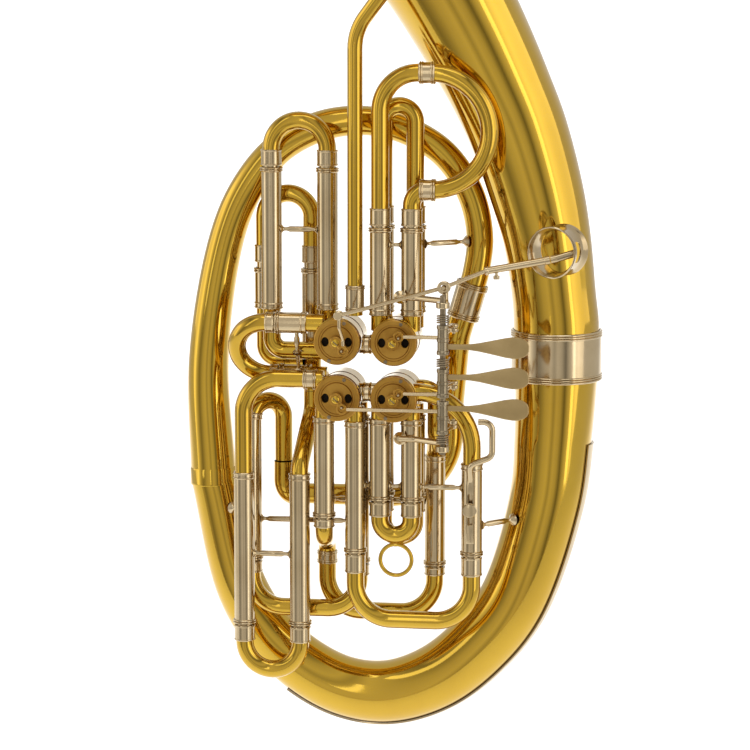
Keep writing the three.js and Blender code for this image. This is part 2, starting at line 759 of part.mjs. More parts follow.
crooks.slide_5_crook = crook([
  vec(wide.leftX, deckMiddle, wide.mouth + depth),
  vec(wide.leftX, deckMiddle, wide.bottom),
  vec(wideRightX, deckMiddle, wide.bottom),
  vec(wideRightX, deckMiddle, wide.mouth + depth),
], wide.bend, depth, depth, wide);

// Main tuning slide: its left leg jogs from the front deck to the rear one below its sleeve
const main = {
  lowX: -43.8, rightX: 32.5, leftMouth: 157.2, rightMouth: 117.7, bottom: 83, bend: 24, sleeve: 70, jogTop: 148,
  jogLow: 124, stub: 1, ring: 6, rise: 200, stepEnd: 216, stepX: 35.4,
};
const sidePortRise = 3.4;
const mainLeftX = axisOf.third.x + left;
const mainPortZ = axisOf.second.z + sidePortRise;
addSleeves('main_slide_sleeves', [
  sleeve([
    vec(mainLeftX, deckFront, main.leftMouth),
    vec(mainLeftX, deckFront, axisOf.third.z - portEnd),
  ], 0, main.sleeve),
  sleeve([
    vec(main.rightX, deckRear, main.rightMouth),
    vec(main.rightX, deckRear, main.rise),
    vec(main.stepX, deckMiddle, main.stepEnd),
    vec(main.stepX, deckMiddle, mainPortZ),
    vec(axisOf.second.x + portEnd, deckMiddle, mainPortZ),
  ], [elbowRadius, elbowRadius, elbowRadius], main.sleeve),
], [
  rod([
    vec(mainLeftX, deckFront + sleeveBore + fit, main.leftMouth + main.ring),
    vec(mainLeftX, deckRear, main.leftMouth + main.ring),
    vec(main.rightX - sleeveBore - fit, deckRear, main.leftMouth + main.ring),
  ], braceRadius, braceRadius),
]);
crooks.main_slide_crook = crook([
  vec(mainLeftX, deckFront, main.leftMouth + shortDepth),
  vec(mainLeftX, deckFront, main.jogTop),
  vec(main.lowX, deckRear, main.jogLow),
  vec(main.lowX, deckRear, main.bottom),
  vec(main.rightX, deckRear, main.bottom),
  vec(main.rightX, deckRear, main.rightMouth + shortDepth),
], [elbowRadius / 2, elbowRadius / 2, main.bend, main.bend], shortDepth, shortDepth, main);

// Slide between the third valve and the second in the front deck
const frontWide = {
  rightX: 62.3, mouth: 132.9, bottom: 86, bend: 25, leftSleeve: 92, rightSleeve: 64, topBend: 38,
  stub: 1, ring: 13, bodyBraceRise: 21.6,
};
const frontLeftX = axisOf.third.x + right;
const frontWideSleeves = [
  sleeve([
    vec(frontLeftX, deckFront, frontWide.mouth),
    vec(frontLeftX, deckFront, axisOf.third.z - portEnd),
  ], 0, frontWide.leftSleeve),
  sleeve([
    vec(frontWide.rightX, deckFront, frontWide.mouth),
    vec(frontWide.rightX, deckFront, mainPortZ),
    vec(axisOf.second.x + portEnd, deckFront, mainPortZ),
  ], frontWide.topBend, frontWide.rightSleeve),
];
crooks.slide_6_crook = crook([
  vec(frontLeftX, deckFront, frontWide.mouth + depth),
  vec(frontLeftX, deckFront, frontWide.bottom),
  vec(frontWide.rightX, deckFront, frontWide.bottom),
  vec(frontWide.rightX, deckFront, frontWide.mouth + depth),
], frontWide.bend, depth, depth, frontWide);

// Second valve: two short slides behind each other, the front one with a pull ring
const pairLeftX = axisOf.second.x + left;
const pairRightX = axisOf.second.x + right;
const second = { mouth: 170.1, frontBottom: 145.8, rearBottom: 140.9, sleeve: 57, stub: 1, ring: 10 };
const pullRing = { radius: 10.9, wire: 1.4, x: 9.8, drop: 11.4, sides: 20 };
const secondSleeves = [...frontWideSleeves];
const secondBraces = [];
for (const deck of [deckFront, deckMiddle]) {
  for (const x of [pairLeftX, pairRightX]) {
    secondSleeves.push(sleeve([vec(x, deck, second.mouth), vec(x, deck, axisOf.second.z - portEnd)], 0, second.sleeve));
  }
}
const secondBraceZ = second.mouth + second.ring;
for (const x of [pairLeftX, pairRightX]) {
  secondBraces.push(brace(
    vec(x, deckFront + sleeveBore + fit, secondBraceZ),
    vec(x, deckMiddle - sleeveBore - fit, secondBraceZ),
  ));
}
secondBraces.push(brace(
  vec(pairLeftX + sleeveBore + fit, deckFront, secondBraceZ),
  vec(pairRightX - sleeveBore - fit, deckFront, secondBraceZ),
));
secondBraces.push(brace(
  vec(frontLeftX + sleeveBore + fit, deckFront, secondBraceZ),
  vec(pairLeftX - sleeveBore - fit, deckFront, secondBraceZ),
));
secondBraces.push(brace(
  vec(pairRightX + sleeveBore + fit, deckFront, secondBraceZ),
  vec(frontWide.rightX - sleeveBore - fit, deckFront, secondBraceZ),
));
const lowerRightStart = vec(frontWide.rightX + sleeveBore + fit, deckFront, frontWide.mouth + frontWide.bodyBraceRise);
secondBraces.push(bodyBrace(lowerRightStart, bowCentres, bowRadii, bowRoom));
addSleeves('slide_6_7_8_sleeves', secondSleeves, secondBraces);
function secondCrook(deck, bottom) {
  return crook([
    vec(pairLeftX, deck, second.mouth + shortDepth),
    vec(pairLeftX, deck, bottom),
    vec(pairRightX, deck, bottom),
    vec(pairRightX, deck, second.mouth + shortDepth),
  ], portOffset, shortDepth, shortDepth, second);
}
const pullLoop = new THREE.TorusGeometry(pullRing.radius, pullRing.wire, 6, pullRing.sides);
pullLoop.rotateX(Math.PI / 2);
pullLoop.translate(pullRing.x, deckFront, second.frontBottom - tubeRadius - pullRing.drop);
crooks.slide_7_crook = union([
  secondCrook(deckFront, second.frontBottom),
  toSolid(pullLoop),
]);
crooks.slide_8_crook = secondCrook(deckMiddle, second.rearBottom);

// First valve: a long loop forward of the bell in the front deck, and a short slide behind it
const loop = {
  mouth: 359.4, top: 464.4, low: 385.1, cornerX: 73.65, leftBend: 26, sleeve: 60, stub: 1, ring: 12, rearTop: 440.6,
  lowBend: 10.9, forward: 3, bodyBraceDrop: 13.1,
};
const loopSleeves = [];
const loopBraces = [];
for (const deck of [deckFront, deckMiddle]) {
  for (const x of [axisOf.first.x + left, axisOf.first.x + right]) {
    loopSleeves.push(sleeve([vec(x, deck, loop.mouth), vec(x, deck, axisOf.first.z + portEnd)], 0, loop.sleeve));
  }
}
for (const x of [axisOf.first.x + left, axisOf.first.x + right]) {
  loopBraces.push(brace(
    vec(x, deckFront + sleeveBore + fit, loop.mouth - loop.ring),
    vec(x, deckMiddle - sleeveBore - fit, loop.mouth - loop.ring),
  ));
}
loopBraces.push(brace(
  vec(axisOf.first.x + left + sleeveBore + fit, deckFront, loop.mouth - loop.ring),
  vec(axisOf.first.x + right - sleeveBore - fit, deckFront, loop.mouth - loop.ring),
));
const upperRightStart = vec(axisOf.first.x + right + sleeveBore + fit, deckMiddle, loop.mouth - loop.bodyBraceDrop);
loopBraces.push(bodyBrace(upperRightStart, branchCentres, branchRadii, branchRoom));
addSleeves('slide_9_10_sleeves', loopSleeves, loopBraces);
const loopRadius = (loop.top - loop.low) / 2;
crooks.slide_9_crook = crook([
  vec(axisOf.first.x + left, deckFront, loop.mouth - shortDepth),
  vec(axisOf.first.x + left, deckFront, loop.top),
  vec(loop.cornerX, deckFront - loop.forward, loop.top),
  vec(loop.cornerX, deckFront - loop.forward, loop.low),
  vec(axisOf.first.x + right, deckFront, loop.low),
  vec(axisOf.first.x + right, deckFront, loop.mouth - shortDepth),
], [loop.leftBend, loopRadius, loopRadius, loop.lowBend], shortDepth, shortDepth, loop);
crooks.slide_10_crook = crook([
  vec(axisOf.first.x + left, deckMiddle, loop.mouth - shortDepth),
  vec(axisOf.first.x + left, deckMiddle, loop.rearTop),
  vec(axisOf.first.x + right, deckMiddle, loop.rearTop),
  vec(axisOf.first.x + right, deckMiddle, loop.mouth - shortDepth),
], portOffset, shortDepth, shortDepth, loop);

for (const [name, solid] of Object.entries(crooks)) {
  add(name, solid, 'brass');
}

// Leadpipe: up from the thumb valve, in front of the bell and out to the mouthpiece receiver
const lead = {
  radius: 5.3, wall: 1, bend: 34, sides: 8, ferruleLow: 283, ferruleHigh: 301, ferruleRadius: 7, ferruleEase: 0.05,
  riseEnd: 492, forwardY: -53, crossX: 22, crossZ: 545, endX: 104, endZ: 566,
};
const leadX = axisOf.thumb.x + right;
const leadCorners = [
  vec(leadX, deckFront, axisOf.thumb.z + portEnd),
  vec(leadX, deckFront, lead.riseEnd),
  vec(lead.crossX, lead.forwardY, lead.crossZ),
  vec(lead.endX, lead.forwardY, lead.endZ),
];
const leadRun = tubeRun(leadCorners, lead.bend, 4);
const leadLength = runLength(leadRun);
ports.push(tube(leadRun, [[0, tubeBore], [leadLength, tubeBore - lead.wall]], null));
add('leadpipe', cut(tube(leadRun, [
  [0, tubeRadius],
  [lead.ferruleHigh - axisOf.thumb.z - portEnd, tubeRadius],
  [lead.ferruleHigh - axisOf.thumb.z - portEnd, lead.radius],
  [leadLength, lead.radius - lead.wall / 2],
], [[0, tubeBore], [leadLength, lead.radius - lead.wall - lead.wall / 2]]), valveRooms), 'brass');
const leadEnd = leadRun[leadRun.length - 1];
const receiver = { length: 42, bore: 4.1, radius: 6.1, endRadius: 7, lap: 12 };
const lapStart = leadEnd.position.clone().addScaledVector(leadEnd.tangent, -receiver.lap);
add('mouthpiece_receiver', turned([
  [lead.radius + fit, 0],
  [receiver.radius + fit, 0],
  [receiver.radius, receiver.lap],
  [receiver.endRadius, receiver.length - beadWidth],
  [receiver.endRadius + fit, receiver.length],
  [receiver.bore, receiver.length],
  [receiver.bore - fit, receiver.lap + fit],
  [lead.radius + fit, receiver.lap + fit],
], lapStart, leadEnd.tangent, 14), 'nickel');
add('leadpipe_ferrule', ringPiece(
  vec(leadX, deckFront, lead.ferruleHigh + fit),
  unitZ,
  lead.radius + fit + lead.ferruleEase,
  lead.ferruleRadius,
  lead.ferruleHigh - lead.ferruleLow,
  12,
), 'nickel');

// Links: short tubes that join neighbouring valves in the front deck
const link = { shift: 3, sides: 16 };
function valveLink(name, from, to, level) {
  const marks = tubeRun([vec(from.x + portEnd, deckFront, level), vec(to.x - portEnd, deckFront, level)], 0);
  const end = runLength(marks);
  const bore = tube(marks, [[0, tubeBore], [end, tubeBore]], null, link.sides);
  ports.push(bore);
  add(name, cut(tube(marks, [[0, tubeRadius], [end, tubeRadius]], null, link.sides), [...valveRooms, bore]),
    'nickel');
}
valveLink('upper_valve_link', axisOf.thumb, axisOf.first, axisOf.thumb.z - link.shift);
valveLink('lower_valve_link', axisOf.third, axisOf.second, axisOf.third.z + link.shift);

// Valves: a cup casing, a front plate screwed on its mouth, and the rotor with its stop arm
function windways(axis, gap) {
  const ways = [];
  for (const deck of [deckFront, deckMiddle]) {
    for (const offset of [-rotor.windwayOffset, rotor.windwayOffset]) {
      const reach = casing.radius + gap;
      ways.push(rod([
        vec(axis.x + offset, deck, axis.z - reach),
        vec(axis.x + offset, deck, axis.z + reach),
      ], rotor.windwayRadius, 0, 6));
    }
  }
  return ways;
}

const casingInner = casing.radius - casing.wall;
const plateBack = casing.front - fit;
const plateFront = plateBack - plate.thickness;
const armBack = plateFront - stopArm.gap;
const armFront = armBack - stopArm.thickness;
const rotorRadius = casingInner * Math.cos(Math.PI / casing.sides) - spindle.bearingGap;
const rotorFront = casing.front + rotor.endGap;
const rotorBack = casingBack - casing.backWall - rotor.endGap;
const bearingHole = (spindle.radius + spindle.bearingGap) / Math.cos(Math.PI / casing.sides);
function addValve(name, axis, pinAngle) {
  const at = (y) => vec(axis.x, y, axis.z);
  const depthOf = (y) => y - casing.front;
  add(`${name}_casing`, cut(turned([
    [casingInner, 0],
    [casing.rimRadius, 0],
    [casing.rimRadius, casing.rimLength],
    [casing.radius, casing.rimLength],
    [casing.radius, casing.length],
    [bearingHole, casing.length],
    [bearingHole, casing.length - casing.backWall],
    [casingInner, casing.length - casing.backWall],
  ], at(casing.front), toRear, casing.sides), ports), 'brass');
  const holes = [-plate.holeOffset, plate.holeOffset].map((offset) => disc(
    vec(axis.x + offset, plateFront - overrun, axis.z),
    toRear,
    plate.holeRadius,
    plate.thickness + 2 * overrun,
    8,
  ));
  add(`${name}_plate`, cut(turned([
    [bearingHole, 0],
    [plate.grooveInner, 0],
    [plate.grooveInner, plate.grooveDepth],
    [plate.grooveOuter, plate.grooveDepth],
    [plate.grooveOuter, 0],
    [plate.radius, 0],
    [plate.radius, plate.thickness],
    [bearingHole, plate.thickness],
  ], at(plateFront), toRear, casing.sides), holes), 'gold');
  const pinX = stopArm.ballRadius * Math.cos(pinAngle);
  const pinZ = stopArm.ballRadius * Math.sin(pinAngle);
  const drum = cut(disc(at(rotorFront), toRear, rotorRadius, rotorBack - rotorFront, 12), windways(axis, fit));
  const arm = rod([
    vec(axis.x, (armBack + armFront) / 2, axis.z),
    vec(axis.x + pinX, (armBack + armFront) / 2, axis.z + pinZ),
  ], stopArm.endRadius, 0, 4);
  const pinEnd = armFront - stopArm.pinLength;
  add(`${name}_rotor`, union([
    drum,
    disc(at(armBack - fit), toRear, spindle.radius, casingBack - armBack + fit, 8),
    disc(at(armFront), toRear, stopArm.hubRadius, stopArm.thickness, 10),
    disc(at(armFront - stopArm.screwHeight), toRear, stopArm.screwRadius, stopArm.screwHeight + fit, 8),
    arm,
    disc(vec(axis.x + pinX, armFront, axis.z + pinZ), toRear, stopArm.endRadius, stopArm.thickness, 8),
    disc(vec(axis.x + pinX, pinEnd, axis.z + pinZ), toRear, stopArm.pinRadius, armFront - pinEnd + fit, 6),
  ]), 'steel');
  return { pin: vec(axis.x + pinX, pinEnd, axis.z + pinZ) };
}
const pinAngles = { thumb: -45, first: 45, second: 45, third: -45 };
const balls = {};
for (const [name, axis] of Object.entries(axisOf)) {
  const valve = addValve(`${name}_valve`, axis, THREE.MathUtils.degToRad(pinAngles[name]));
  balls[name] = valve.pin;
}

// Finger levers: three on one upright axle in front of the rods, cranks to the rear, paddles to the right
const lever = {
  x: 47.1, y: -85, crank: 22.2, rest: 12.5, axleRadius: 2, hubBore: 2.5, hubRadius: 4.1, armThick: 2.4,
  armDrop: 3, pinRadius: 1.1, paddleThick: 1.8, hubSides: 10,
};
const eye = { hole: 2.4, radius: 3.7, thick: 2.6, y: -63.1, rise: 5.8, crankHole: 1.6, crankRadius: 3 };
const rodRadius = 1.3;
const rest = THREE.MathUtils.degToRad(lever.rest);
const crankX = lever.x + lever.crank * Math.sin(rest);
const crankY = lever.y + lever.crank * Math.cos(rest);
const levers = {
  first: { crankZ: 292.7, paddleZ: 284.5, low: 279, high: 299, rodZ: axisOf.first.z + eye.rise },
  second: { crankZ: 253.7, paddleZ: 264, low: 250, high: 269.5, rodZ: axisOf.second.z + eye.rise },
  third: { crankZ: 229.6, paddleZ: 242.7, low: 225, high: 247.5, rodZ: axisOf.third.z - eye.rise },
};
const paddle = {
  start: 3.4, neckEnd: 18, shoulder: 34, belly: 46, tipStart: 53, tip: 57.5, neckHalf: 2.2, shoulderHalf: 4.6,
  bellyHalf: 7.2, tipHalf: 6.8, endHalf: 4,
};
const paddleUpper = [
  [paddle.start, paddle.neckHalf],
  [paddle.neckEnd, paddle.neckHalf],
  [paddle.shoulder, paddle.shoulderHalf],
  [paddle.belly, paddle.bellyHalf],
  [paddle.tipStart, paddle.tipHalf],
  [paddle.tip, paddle.endHalf],
];
const paddleOutline = [...paddleUpper, ...paddleUpper.map(([x, z]) => [x, -z]).reverse()];
function plateSolid(outline, thick, origin) {
  const shape = new THREE.Shape(outline.map(([x, z]) => new THREE.Vector2(x, z)).reverse());
  const geometry = new THREE.ExtrudeGeometry(shape, { depth: thick, bevelEnabled: false });
  geometry.rotateX(Math.PI / 2);
  geometry.translate(origin.x, origin.y + thick / 2, origin.z);
  return toSolid(geometry);
}
for (const [name, part3] of Object.entries(levers)) {
  const armSide = Math.sign(part3.crankZ - part3.rodZ);
  const armZ = part3.crankZ + armSide * lever.armDrop;
  const pinLow = Math.min(armZ, part3.crankZ - armSide * lever.armThick);
  const pinHigh = Math.max(armZ, part3.crankZ - armSide * lever.armThick);
  add(`${name}_lever`, union([
    ringPiece(vec(lever.x, lever.y, part3.low), unitZ, lever.hubBore, lever.hubRadius, part3.high - part3.low,
      lever.hubSides),
    plateSolid(paddleOutline, lever.paddleThick, vec(lever.x, lever.y, part3.paddleZ)),
    rod([
      vec(lever.x + (crankX - lever.x) / 6, lever.y + lever.hubRadius - lever.armThick / 4, armZ),
      vec(crankX, crankY, armZ),
    ], lever.armThick / 2, 0, 6),
    disc(vec(crankX, crankY, armZ - lever.armThick / 2), unitZ, eye.crankRadius, lever.armThick, 8),
    disc(vec(crankX, crankY, pinLow), unitZ, lever.pinRadius, pinHigh - pinLow, 6),
  ]), 'nickel');
  const ballX = axisOf[name].x + stopArm.ballRadius * Math.SQRT1_2;
  add(`${name}_rod`, union([
    ringPiece(vec(crankX, crankY, part3.crankZ - lever.armThick / 2), unitZ, eye.crankHole, eye.crankRadius,
      lever.armThick, 8),
    rod([
      vec(crankX - (eye.crankRadius + eye.crankHole) / 2, crankY, part3.crankZ),
      vec(crankX - 3 * eye.crankRadius, eye.y, part3.rodZ),
      vec(ballX + (eye.radius + eye.hole) / 2, eye.y, part3.rodZ),
    ], rodRadius, eye.crankRadius),
    ringPiece(vec(ballX, eye.y - eye.thick / 2, part3.rodZ), toRear, eye.hole, eye.radius, eye.thick, 8),
  ]), 'nickel');
}

const axleLow = 211;
const axleHigh = 319;
add('lever_axle', disc(vec(lever.x, lever.y, axleLow), unitZ, lever.axleRadius, axleHigh - axleLow, 8), 'steel');

// Brackets: the upper one stands on the first valve's right sleeve, the lower one on the second valve's
const bracket = { thick: 4, radius: 4.6, highZ: 310.5, lowZ: 213, barRadius: 2.2, pivotX: 46.5, pivotZ: 323 };
const thumbPivot = { pinRadius: 1.6, hole: 2.2, ringRadius: 4.4, y: -75, thick: 4, postY: -66 };
const sleeveRight = axisOf.first.x + right;
function bracketArm(z) {
  return union([
    ringPiece(vec(lever.x, lever.y, z), unitZ, lever.hubBore, bracket.radius, bracket.thick, lever.hubSides),
    rod([
      vec(lever.x, lever.y + bracket.radius - 1, z + bracket.thick / 2),
      vec(lever.x, thumbPivot.postY, z + bracket.thick / 2),
      vec(sleeveRight + sleeveRadius / 2, deckFront - sleeveRadius - bracket.barRadius - fit, z + bracket.thick / 2),
      vec(sleeveRight - sleeveRadius, deckFront - sleeveRadius - bracket.barRadius - fit, z + bracket.thick / 2),
    ], bracket.barRadius, [3 * bracket.barRadius, 3 * bracket.barRadius]),
  ]);
}
add('upper_bracket', union([
  bracketArm(bracket.highZ),
  rod([
    vec(bracket.pivotX, thumbPivot.postY, bracket.highZ + bracket.thick / 2),
    vec(bracket.pivotX, thumbPivot.postY, bracket.pivotZ + bracket.barRadius),
  ], bracket.barRadius),
  disc(vec(bracket.pivotX, thumbPivot.postY, bracket.pivotZ), toPlayer, thumbPivot.pinRadius,
    thumbPivot.postY - thumbPivot.y + thumbPivot.thick, 8),
]), 'nickel');
add('lower_bracket', bracketArm(bracket.lowZ), 'nickel');

// Lever springs: wire coiled round the axle, with a leg at each end
const spring = { wire: 0.45, coil: 3.9, pitch: 1.45, curls: 4, leg: 7, stepsPerCurl: 8 };
let springGap = Infinity;
function springCoil(z) {
  const centres = [];
  const steps = spring.curls * spring.stepsPerCurl;
  for (let k = 0; k <= steps; k += 1) {
    const angle = (2 * Math.PI * k) / spring.stepsPerCurl;
    centres.push(vec(
      lever.x + spring.coil * Math.cos(angle),
      lever.y + spring.coil * Math.sin(angle),
      z + (spring.pitch * k) / spring.stepsPerCurl,
    ));
  }
  for (let i = 0; i < centres.length; i += 1) {
    for (let j = i + spring.stepsPerCurl / 2; j < centres.length; j += 1) {
      springGap = Math.min(springGap, centres[i].distanceTo(centres[j]) - 2 * spring.wire);
    }
  }
  centres.unshift(centres[0].clone().add(vec(0, -spring.leg, 0)));
  centres.push(centres[centres.length - 1].clone().add(vec(0, spring.leg, 0)));
  const marks = marksThrough(centres);
  return loft(marks.map((mark) => ({ ...mark, radius: spring.wire })), null, 5);
}
const springHeight = spring.curls * spring.pitch;
add('first_spring', springCoil(levers.first.high + 2 * fit + spring.wire), 'steel');
add('second_spring', springCoil(levers.second.high + 2 * fit + spring.wire), 'steel');
add('third_spring', springCoil(levers.third.low - 2 * fit - spring.wire - springHeight), 'steel');
console.log('spring gap', springGap.toFixed(2));

// Thumb lever: it rocks on the pin above the finger levers and lifts the thumb valve's link
const thumb = {
  endX: -25.3, endZ: 302.5, rodRadius: 1.5, sleeveRadius: 2.8, kneeX: 74, kneeZ: 334.5, tipX: 118, tipZ: 343,
  pinLength: 7, linkY: -70.2, linkThick: 2.4,
};
const thumbEye = { x: axisOf.thumb.x + stopArm.ballRadius * Math.SQRT1_2 + 1 };
thumbEye.z = axisOf.thumb.z - stopArm.ballRadius * Math.SQRT1_2;
const thumbHole = disc(
  vec(bracket.pivotX, thumbPivot.y - thumbPivot.thick, bracket.pivotZ),
  toRear,
  thumbPivot.hole,
  2 * thumbPivot.thick,
  8,
);
add('thumb_lever', cut(union([
  disc(vec(bracket.pivotX, thumbPivot.y - thumbPivot.thick / 2, bracket.pivotZ), toRear, thumbPivot.ringRadius,
    thumbPivot.thick, 10),
  rod([
    vec(thumb.endX, thumbPivot.y, thumb.endZ),
    vec(bracket.pivotX, thumbPivot.y, bracket.pivotZ),
    vec(thumb.kneeX, thumbPivot.y, thumb.kneeZ),
  ], thumb.rodRadius, thumb.rodRadius),
  rod([vec(thumb.kneeX, thumbPivot.y, thumb.kneeZ), vec(thumb.tipX, thumbPivot.y, thumb.tipZ)],
    thumb.sleeveRadius, 0, 8),
  disc(vec(thumb.endX, thumbPivot.y - thumb.sleeveRadius / 2, thumb.endZ), toRear, eye.crankRadius,
    thumb.sleeveRadius, 8),
  disc(vec(thumb.endX, thumbPivot.y, thumb.endZ), toRear, lever.pinRadius, thumb.pinLength, 6),
]), [thumbHole]), 'nickel');
add('thumb_link', union([
  ringPiece(vec(thumb.endX, thumb.linkY - thumb.linkThick / 2, thumb.endZ), toRear, eye.crankHole,
    eye.crankRadius, thumb.linkThick, 8),
  rod([
    vec(thumb.endX, thumb.linkY, thumb.endZ - (eye.crankRadius + eye.crankHole) / 2),
    vec(thumb.endX, thumb.linkY, thumb.endZ - 3 * eye.crankRadius),
    vec(thumbEye.x, eye.y, thumbEye.z + 2 * eye.radius),
    vec(thumbEye.x, eye.y, thumbEye.z + (eye.radius + eye.hole) / 2),
  ], rodRadius, rodRadius),
  ringPiece(vec(thumbEye.x, eye.y - eye.thick / 2, thumbEye.z), toRear, eye.hole, eye.radius, eye.thick, 8),
]), 'nickel');

// Thumb saddle: a waisted ring across the thumb lever's right end, fixed by a neck to its right wall
const saddle = {
  x: 121.8, y: -62, z: 347.3, turn: 20, width: 22, waist: 15.5, rim: 17.5, wall: 1.2, flare: 5, slotWidth: 7,
  slotHeight: 14, neckRise: 4, neckSide: 5, sides: 18,
};
const saddleTurn = THREE.MathUtils.degToRad(saddle.turn);
const saddleAxis = vec(-Math.sin(saddleTurn), -Math.cos(saddleTurn), 0);
const saddleRight = vec(Math.cos(saddleTurn), -Math.sin(saddleTurn), 0);
const saddleCentre = vec(saddle.x, saddle.y, saddle.z);
const saddleBand = turned([
  [saddle.rim - saddle.wall, 0],
  [saddle.rim, 0],
  [saddle.waist, saddle.flare],
  [saddle.waist, saddle.width - saddle.flare],
  [saddle.rim, saddle.width],
  [saddle.rim - saddle.wall, saddle.width],
  [saddle.waist - saddle.wall, saddle.width - saddle.flare],
  [saddle.waist - saddle.wall, saddle.flare],
], saddleCentre.clone().addScaledVector(saddleAxis, -saddle.width / 2), saddleAxis, saddle.sides);
const slot = new THREE.BoxGeometry(saddle.rim, saddle.slotWidth, saddle.slotHeight);
slot.rotateZ(-saddleTurn);
slot.translate(saddle.x + saddleRight.x * saddle.rim, saddle.y + saddleRight.y * saddle.rim, saddle.z);
const thumbKnee = vec(thumb.kneeX, thumbPivot.y, thumb.kneeZ);
const thumbTip = vec(thumb.tipX, thumbPivot.y, thumb.tipZ);
const thumbAlong = thumbTip.clone().sub(thumbKnee).normalize();
add('thumb_saddle', cut(union([
  saddleBand,
  rod([
    thumbTip.clone().addScaledVector(thumbAlong, fit),
    thumbTip.clone().addScaledVector(thumbAlong, saddle.neckRise),
    saddleCentre.clone().addScaledVector(saddleAxis, saddle.neckSide)
      .addScaledVector(saddleRight, saddle.waist - saddle.wall),
  ], thumb.sleeveRadius, saddle.neckRise / 2, 8),
]), [toSolid(slot)]), 'nickel');

// Finger hook: its slotted bar slides under the screw on the right front sleeve
const hook = {
  x: frontWide.rightX, width: 6, thick: 3, lowZ: 143, highZ: 193, slotWidth: 3.8, slotLength: 22, radius: 2.1,
  screwZ: 167, screwRadius: 5, screwHead: 4, shaft: 1.5,
};
const hookBack = deckFront - sleeveRadius - fit;
const bar = new THREE.BoxGeometry(hook.width, hook.thick, hook.highZ - hook.lowZ);
bar.translate(hook.x, hookBack - hook.thick / 2, (hook.highZ + hook.lowZ) / 2);
const barSlot = new THREE.BoxGeometry(hook.slotWidth, 3 * hook.thick, hook.slotLength);
barSlot.translate(hook.x, hookBack - hook.thick / 2, hook.screwZ);
const hookY = hookBack - hook.thick / 2;
add('finger_hook', union([
  cut(toSolid(bar), [toSolid(barSlot)]),
  rod([
    vec(hook.x, hookY, hook.highZ - hook.width),
    vec(hook.x, hookY - hook.width, hook.highZ + hook.width),
    vec(hook.x + 2.6 * hook.width, hookY - hook.width, hook.highZ + 2 * hook.width),
    vec(hook.x + 2.6 * hook.width, hookY - hook.width, hook.highZ + 6 * hook.width),
    vec(hook.x + hook.width, hookY - hook.width, hook.highZ + 6 * hook.width),
  ], hook.radius, hook.width),
]), 'nickel');
const screwY = hookBack - hook.thick - fit;
add('hook_screw', union([
  disc(vec(hook.x, screwY, hook.screwZ), toPlayer, hook.screwRadius, hook.screwHead, 10),
  disc(vec(hook.x, hookBack, hook.screwZ), toPlayer, hook.shaft, hook.thick + hook.screwHead, 6),
]), 'nickel');

export default part;
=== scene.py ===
import bpy
import math
from mathutils import Matrix, Quaternion, Vector


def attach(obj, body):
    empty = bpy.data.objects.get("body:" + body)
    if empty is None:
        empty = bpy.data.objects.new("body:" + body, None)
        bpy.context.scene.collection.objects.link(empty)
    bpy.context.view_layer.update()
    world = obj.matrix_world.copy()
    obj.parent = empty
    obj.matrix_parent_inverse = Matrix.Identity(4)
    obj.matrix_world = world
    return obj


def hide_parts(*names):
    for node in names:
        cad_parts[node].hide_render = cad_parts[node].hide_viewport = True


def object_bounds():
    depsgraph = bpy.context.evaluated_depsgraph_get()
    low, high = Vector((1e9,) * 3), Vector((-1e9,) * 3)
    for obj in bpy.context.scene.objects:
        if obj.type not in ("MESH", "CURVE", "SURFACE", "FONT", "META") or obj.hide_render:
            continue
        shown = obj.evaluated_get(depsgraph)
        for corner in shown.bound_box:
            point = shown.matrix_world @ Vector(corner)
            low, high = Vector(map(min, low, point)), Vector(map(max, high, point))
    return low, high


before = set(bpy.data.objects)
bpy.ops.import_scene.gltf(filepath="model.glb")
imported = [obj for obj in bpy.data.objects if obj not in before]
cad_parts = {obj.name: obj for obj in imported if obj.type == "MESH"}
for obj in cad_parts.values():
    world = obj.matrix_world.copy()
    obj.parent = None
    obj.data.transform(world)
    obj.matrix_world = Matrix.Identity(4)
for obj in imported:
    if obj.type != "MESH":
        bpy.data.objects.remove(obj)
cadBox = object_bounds()
print("frame loaded")

mm = 0.001
up = Vector((0, 0, 1))
toPlayer = Vector((0, -1, 0))
toRear = Vector((0, 1, 0))


def point(x, y, z):
    return Vector((x * mm, y * mm, z * mm))


def deselectAll():
    if bpy.context.object and bpy.context.object.mode != "OBJECT":
        bpy.ops.object.mode_set(mode="OBJECT")
    bpy.ops.object.select_all(action="DESELECT")


def pick(piece):
    deselectAll()
    piece.select_set(True)
    bpy.context.view_layer.objects.active = piece


def settle(piece):  # the place goes into the mesh, the object sits at the origin
    pick(piece)
    bpy.ops.object.transform_apply(location=True, rotation=True, scale=True)
    return piece


def joinPieces(pieces, name):
    deselectAll()
    for piece in pieces:
        piece.select_set(True)
    bpy.context.view_layer.objects.active = pieces[0]
    if len(pieces) > 1:
        bpy.ops.object.join()
    whole = bpy.context.view_layer.objects.active
    whole.name = name
    whole.data.name = name
    return whole


def smooth(piece, degrees=35):
    pick(piece)
    bpy.ops.object.shade_smooth_by_angle(angle=math.radians(degrees))
    return piece


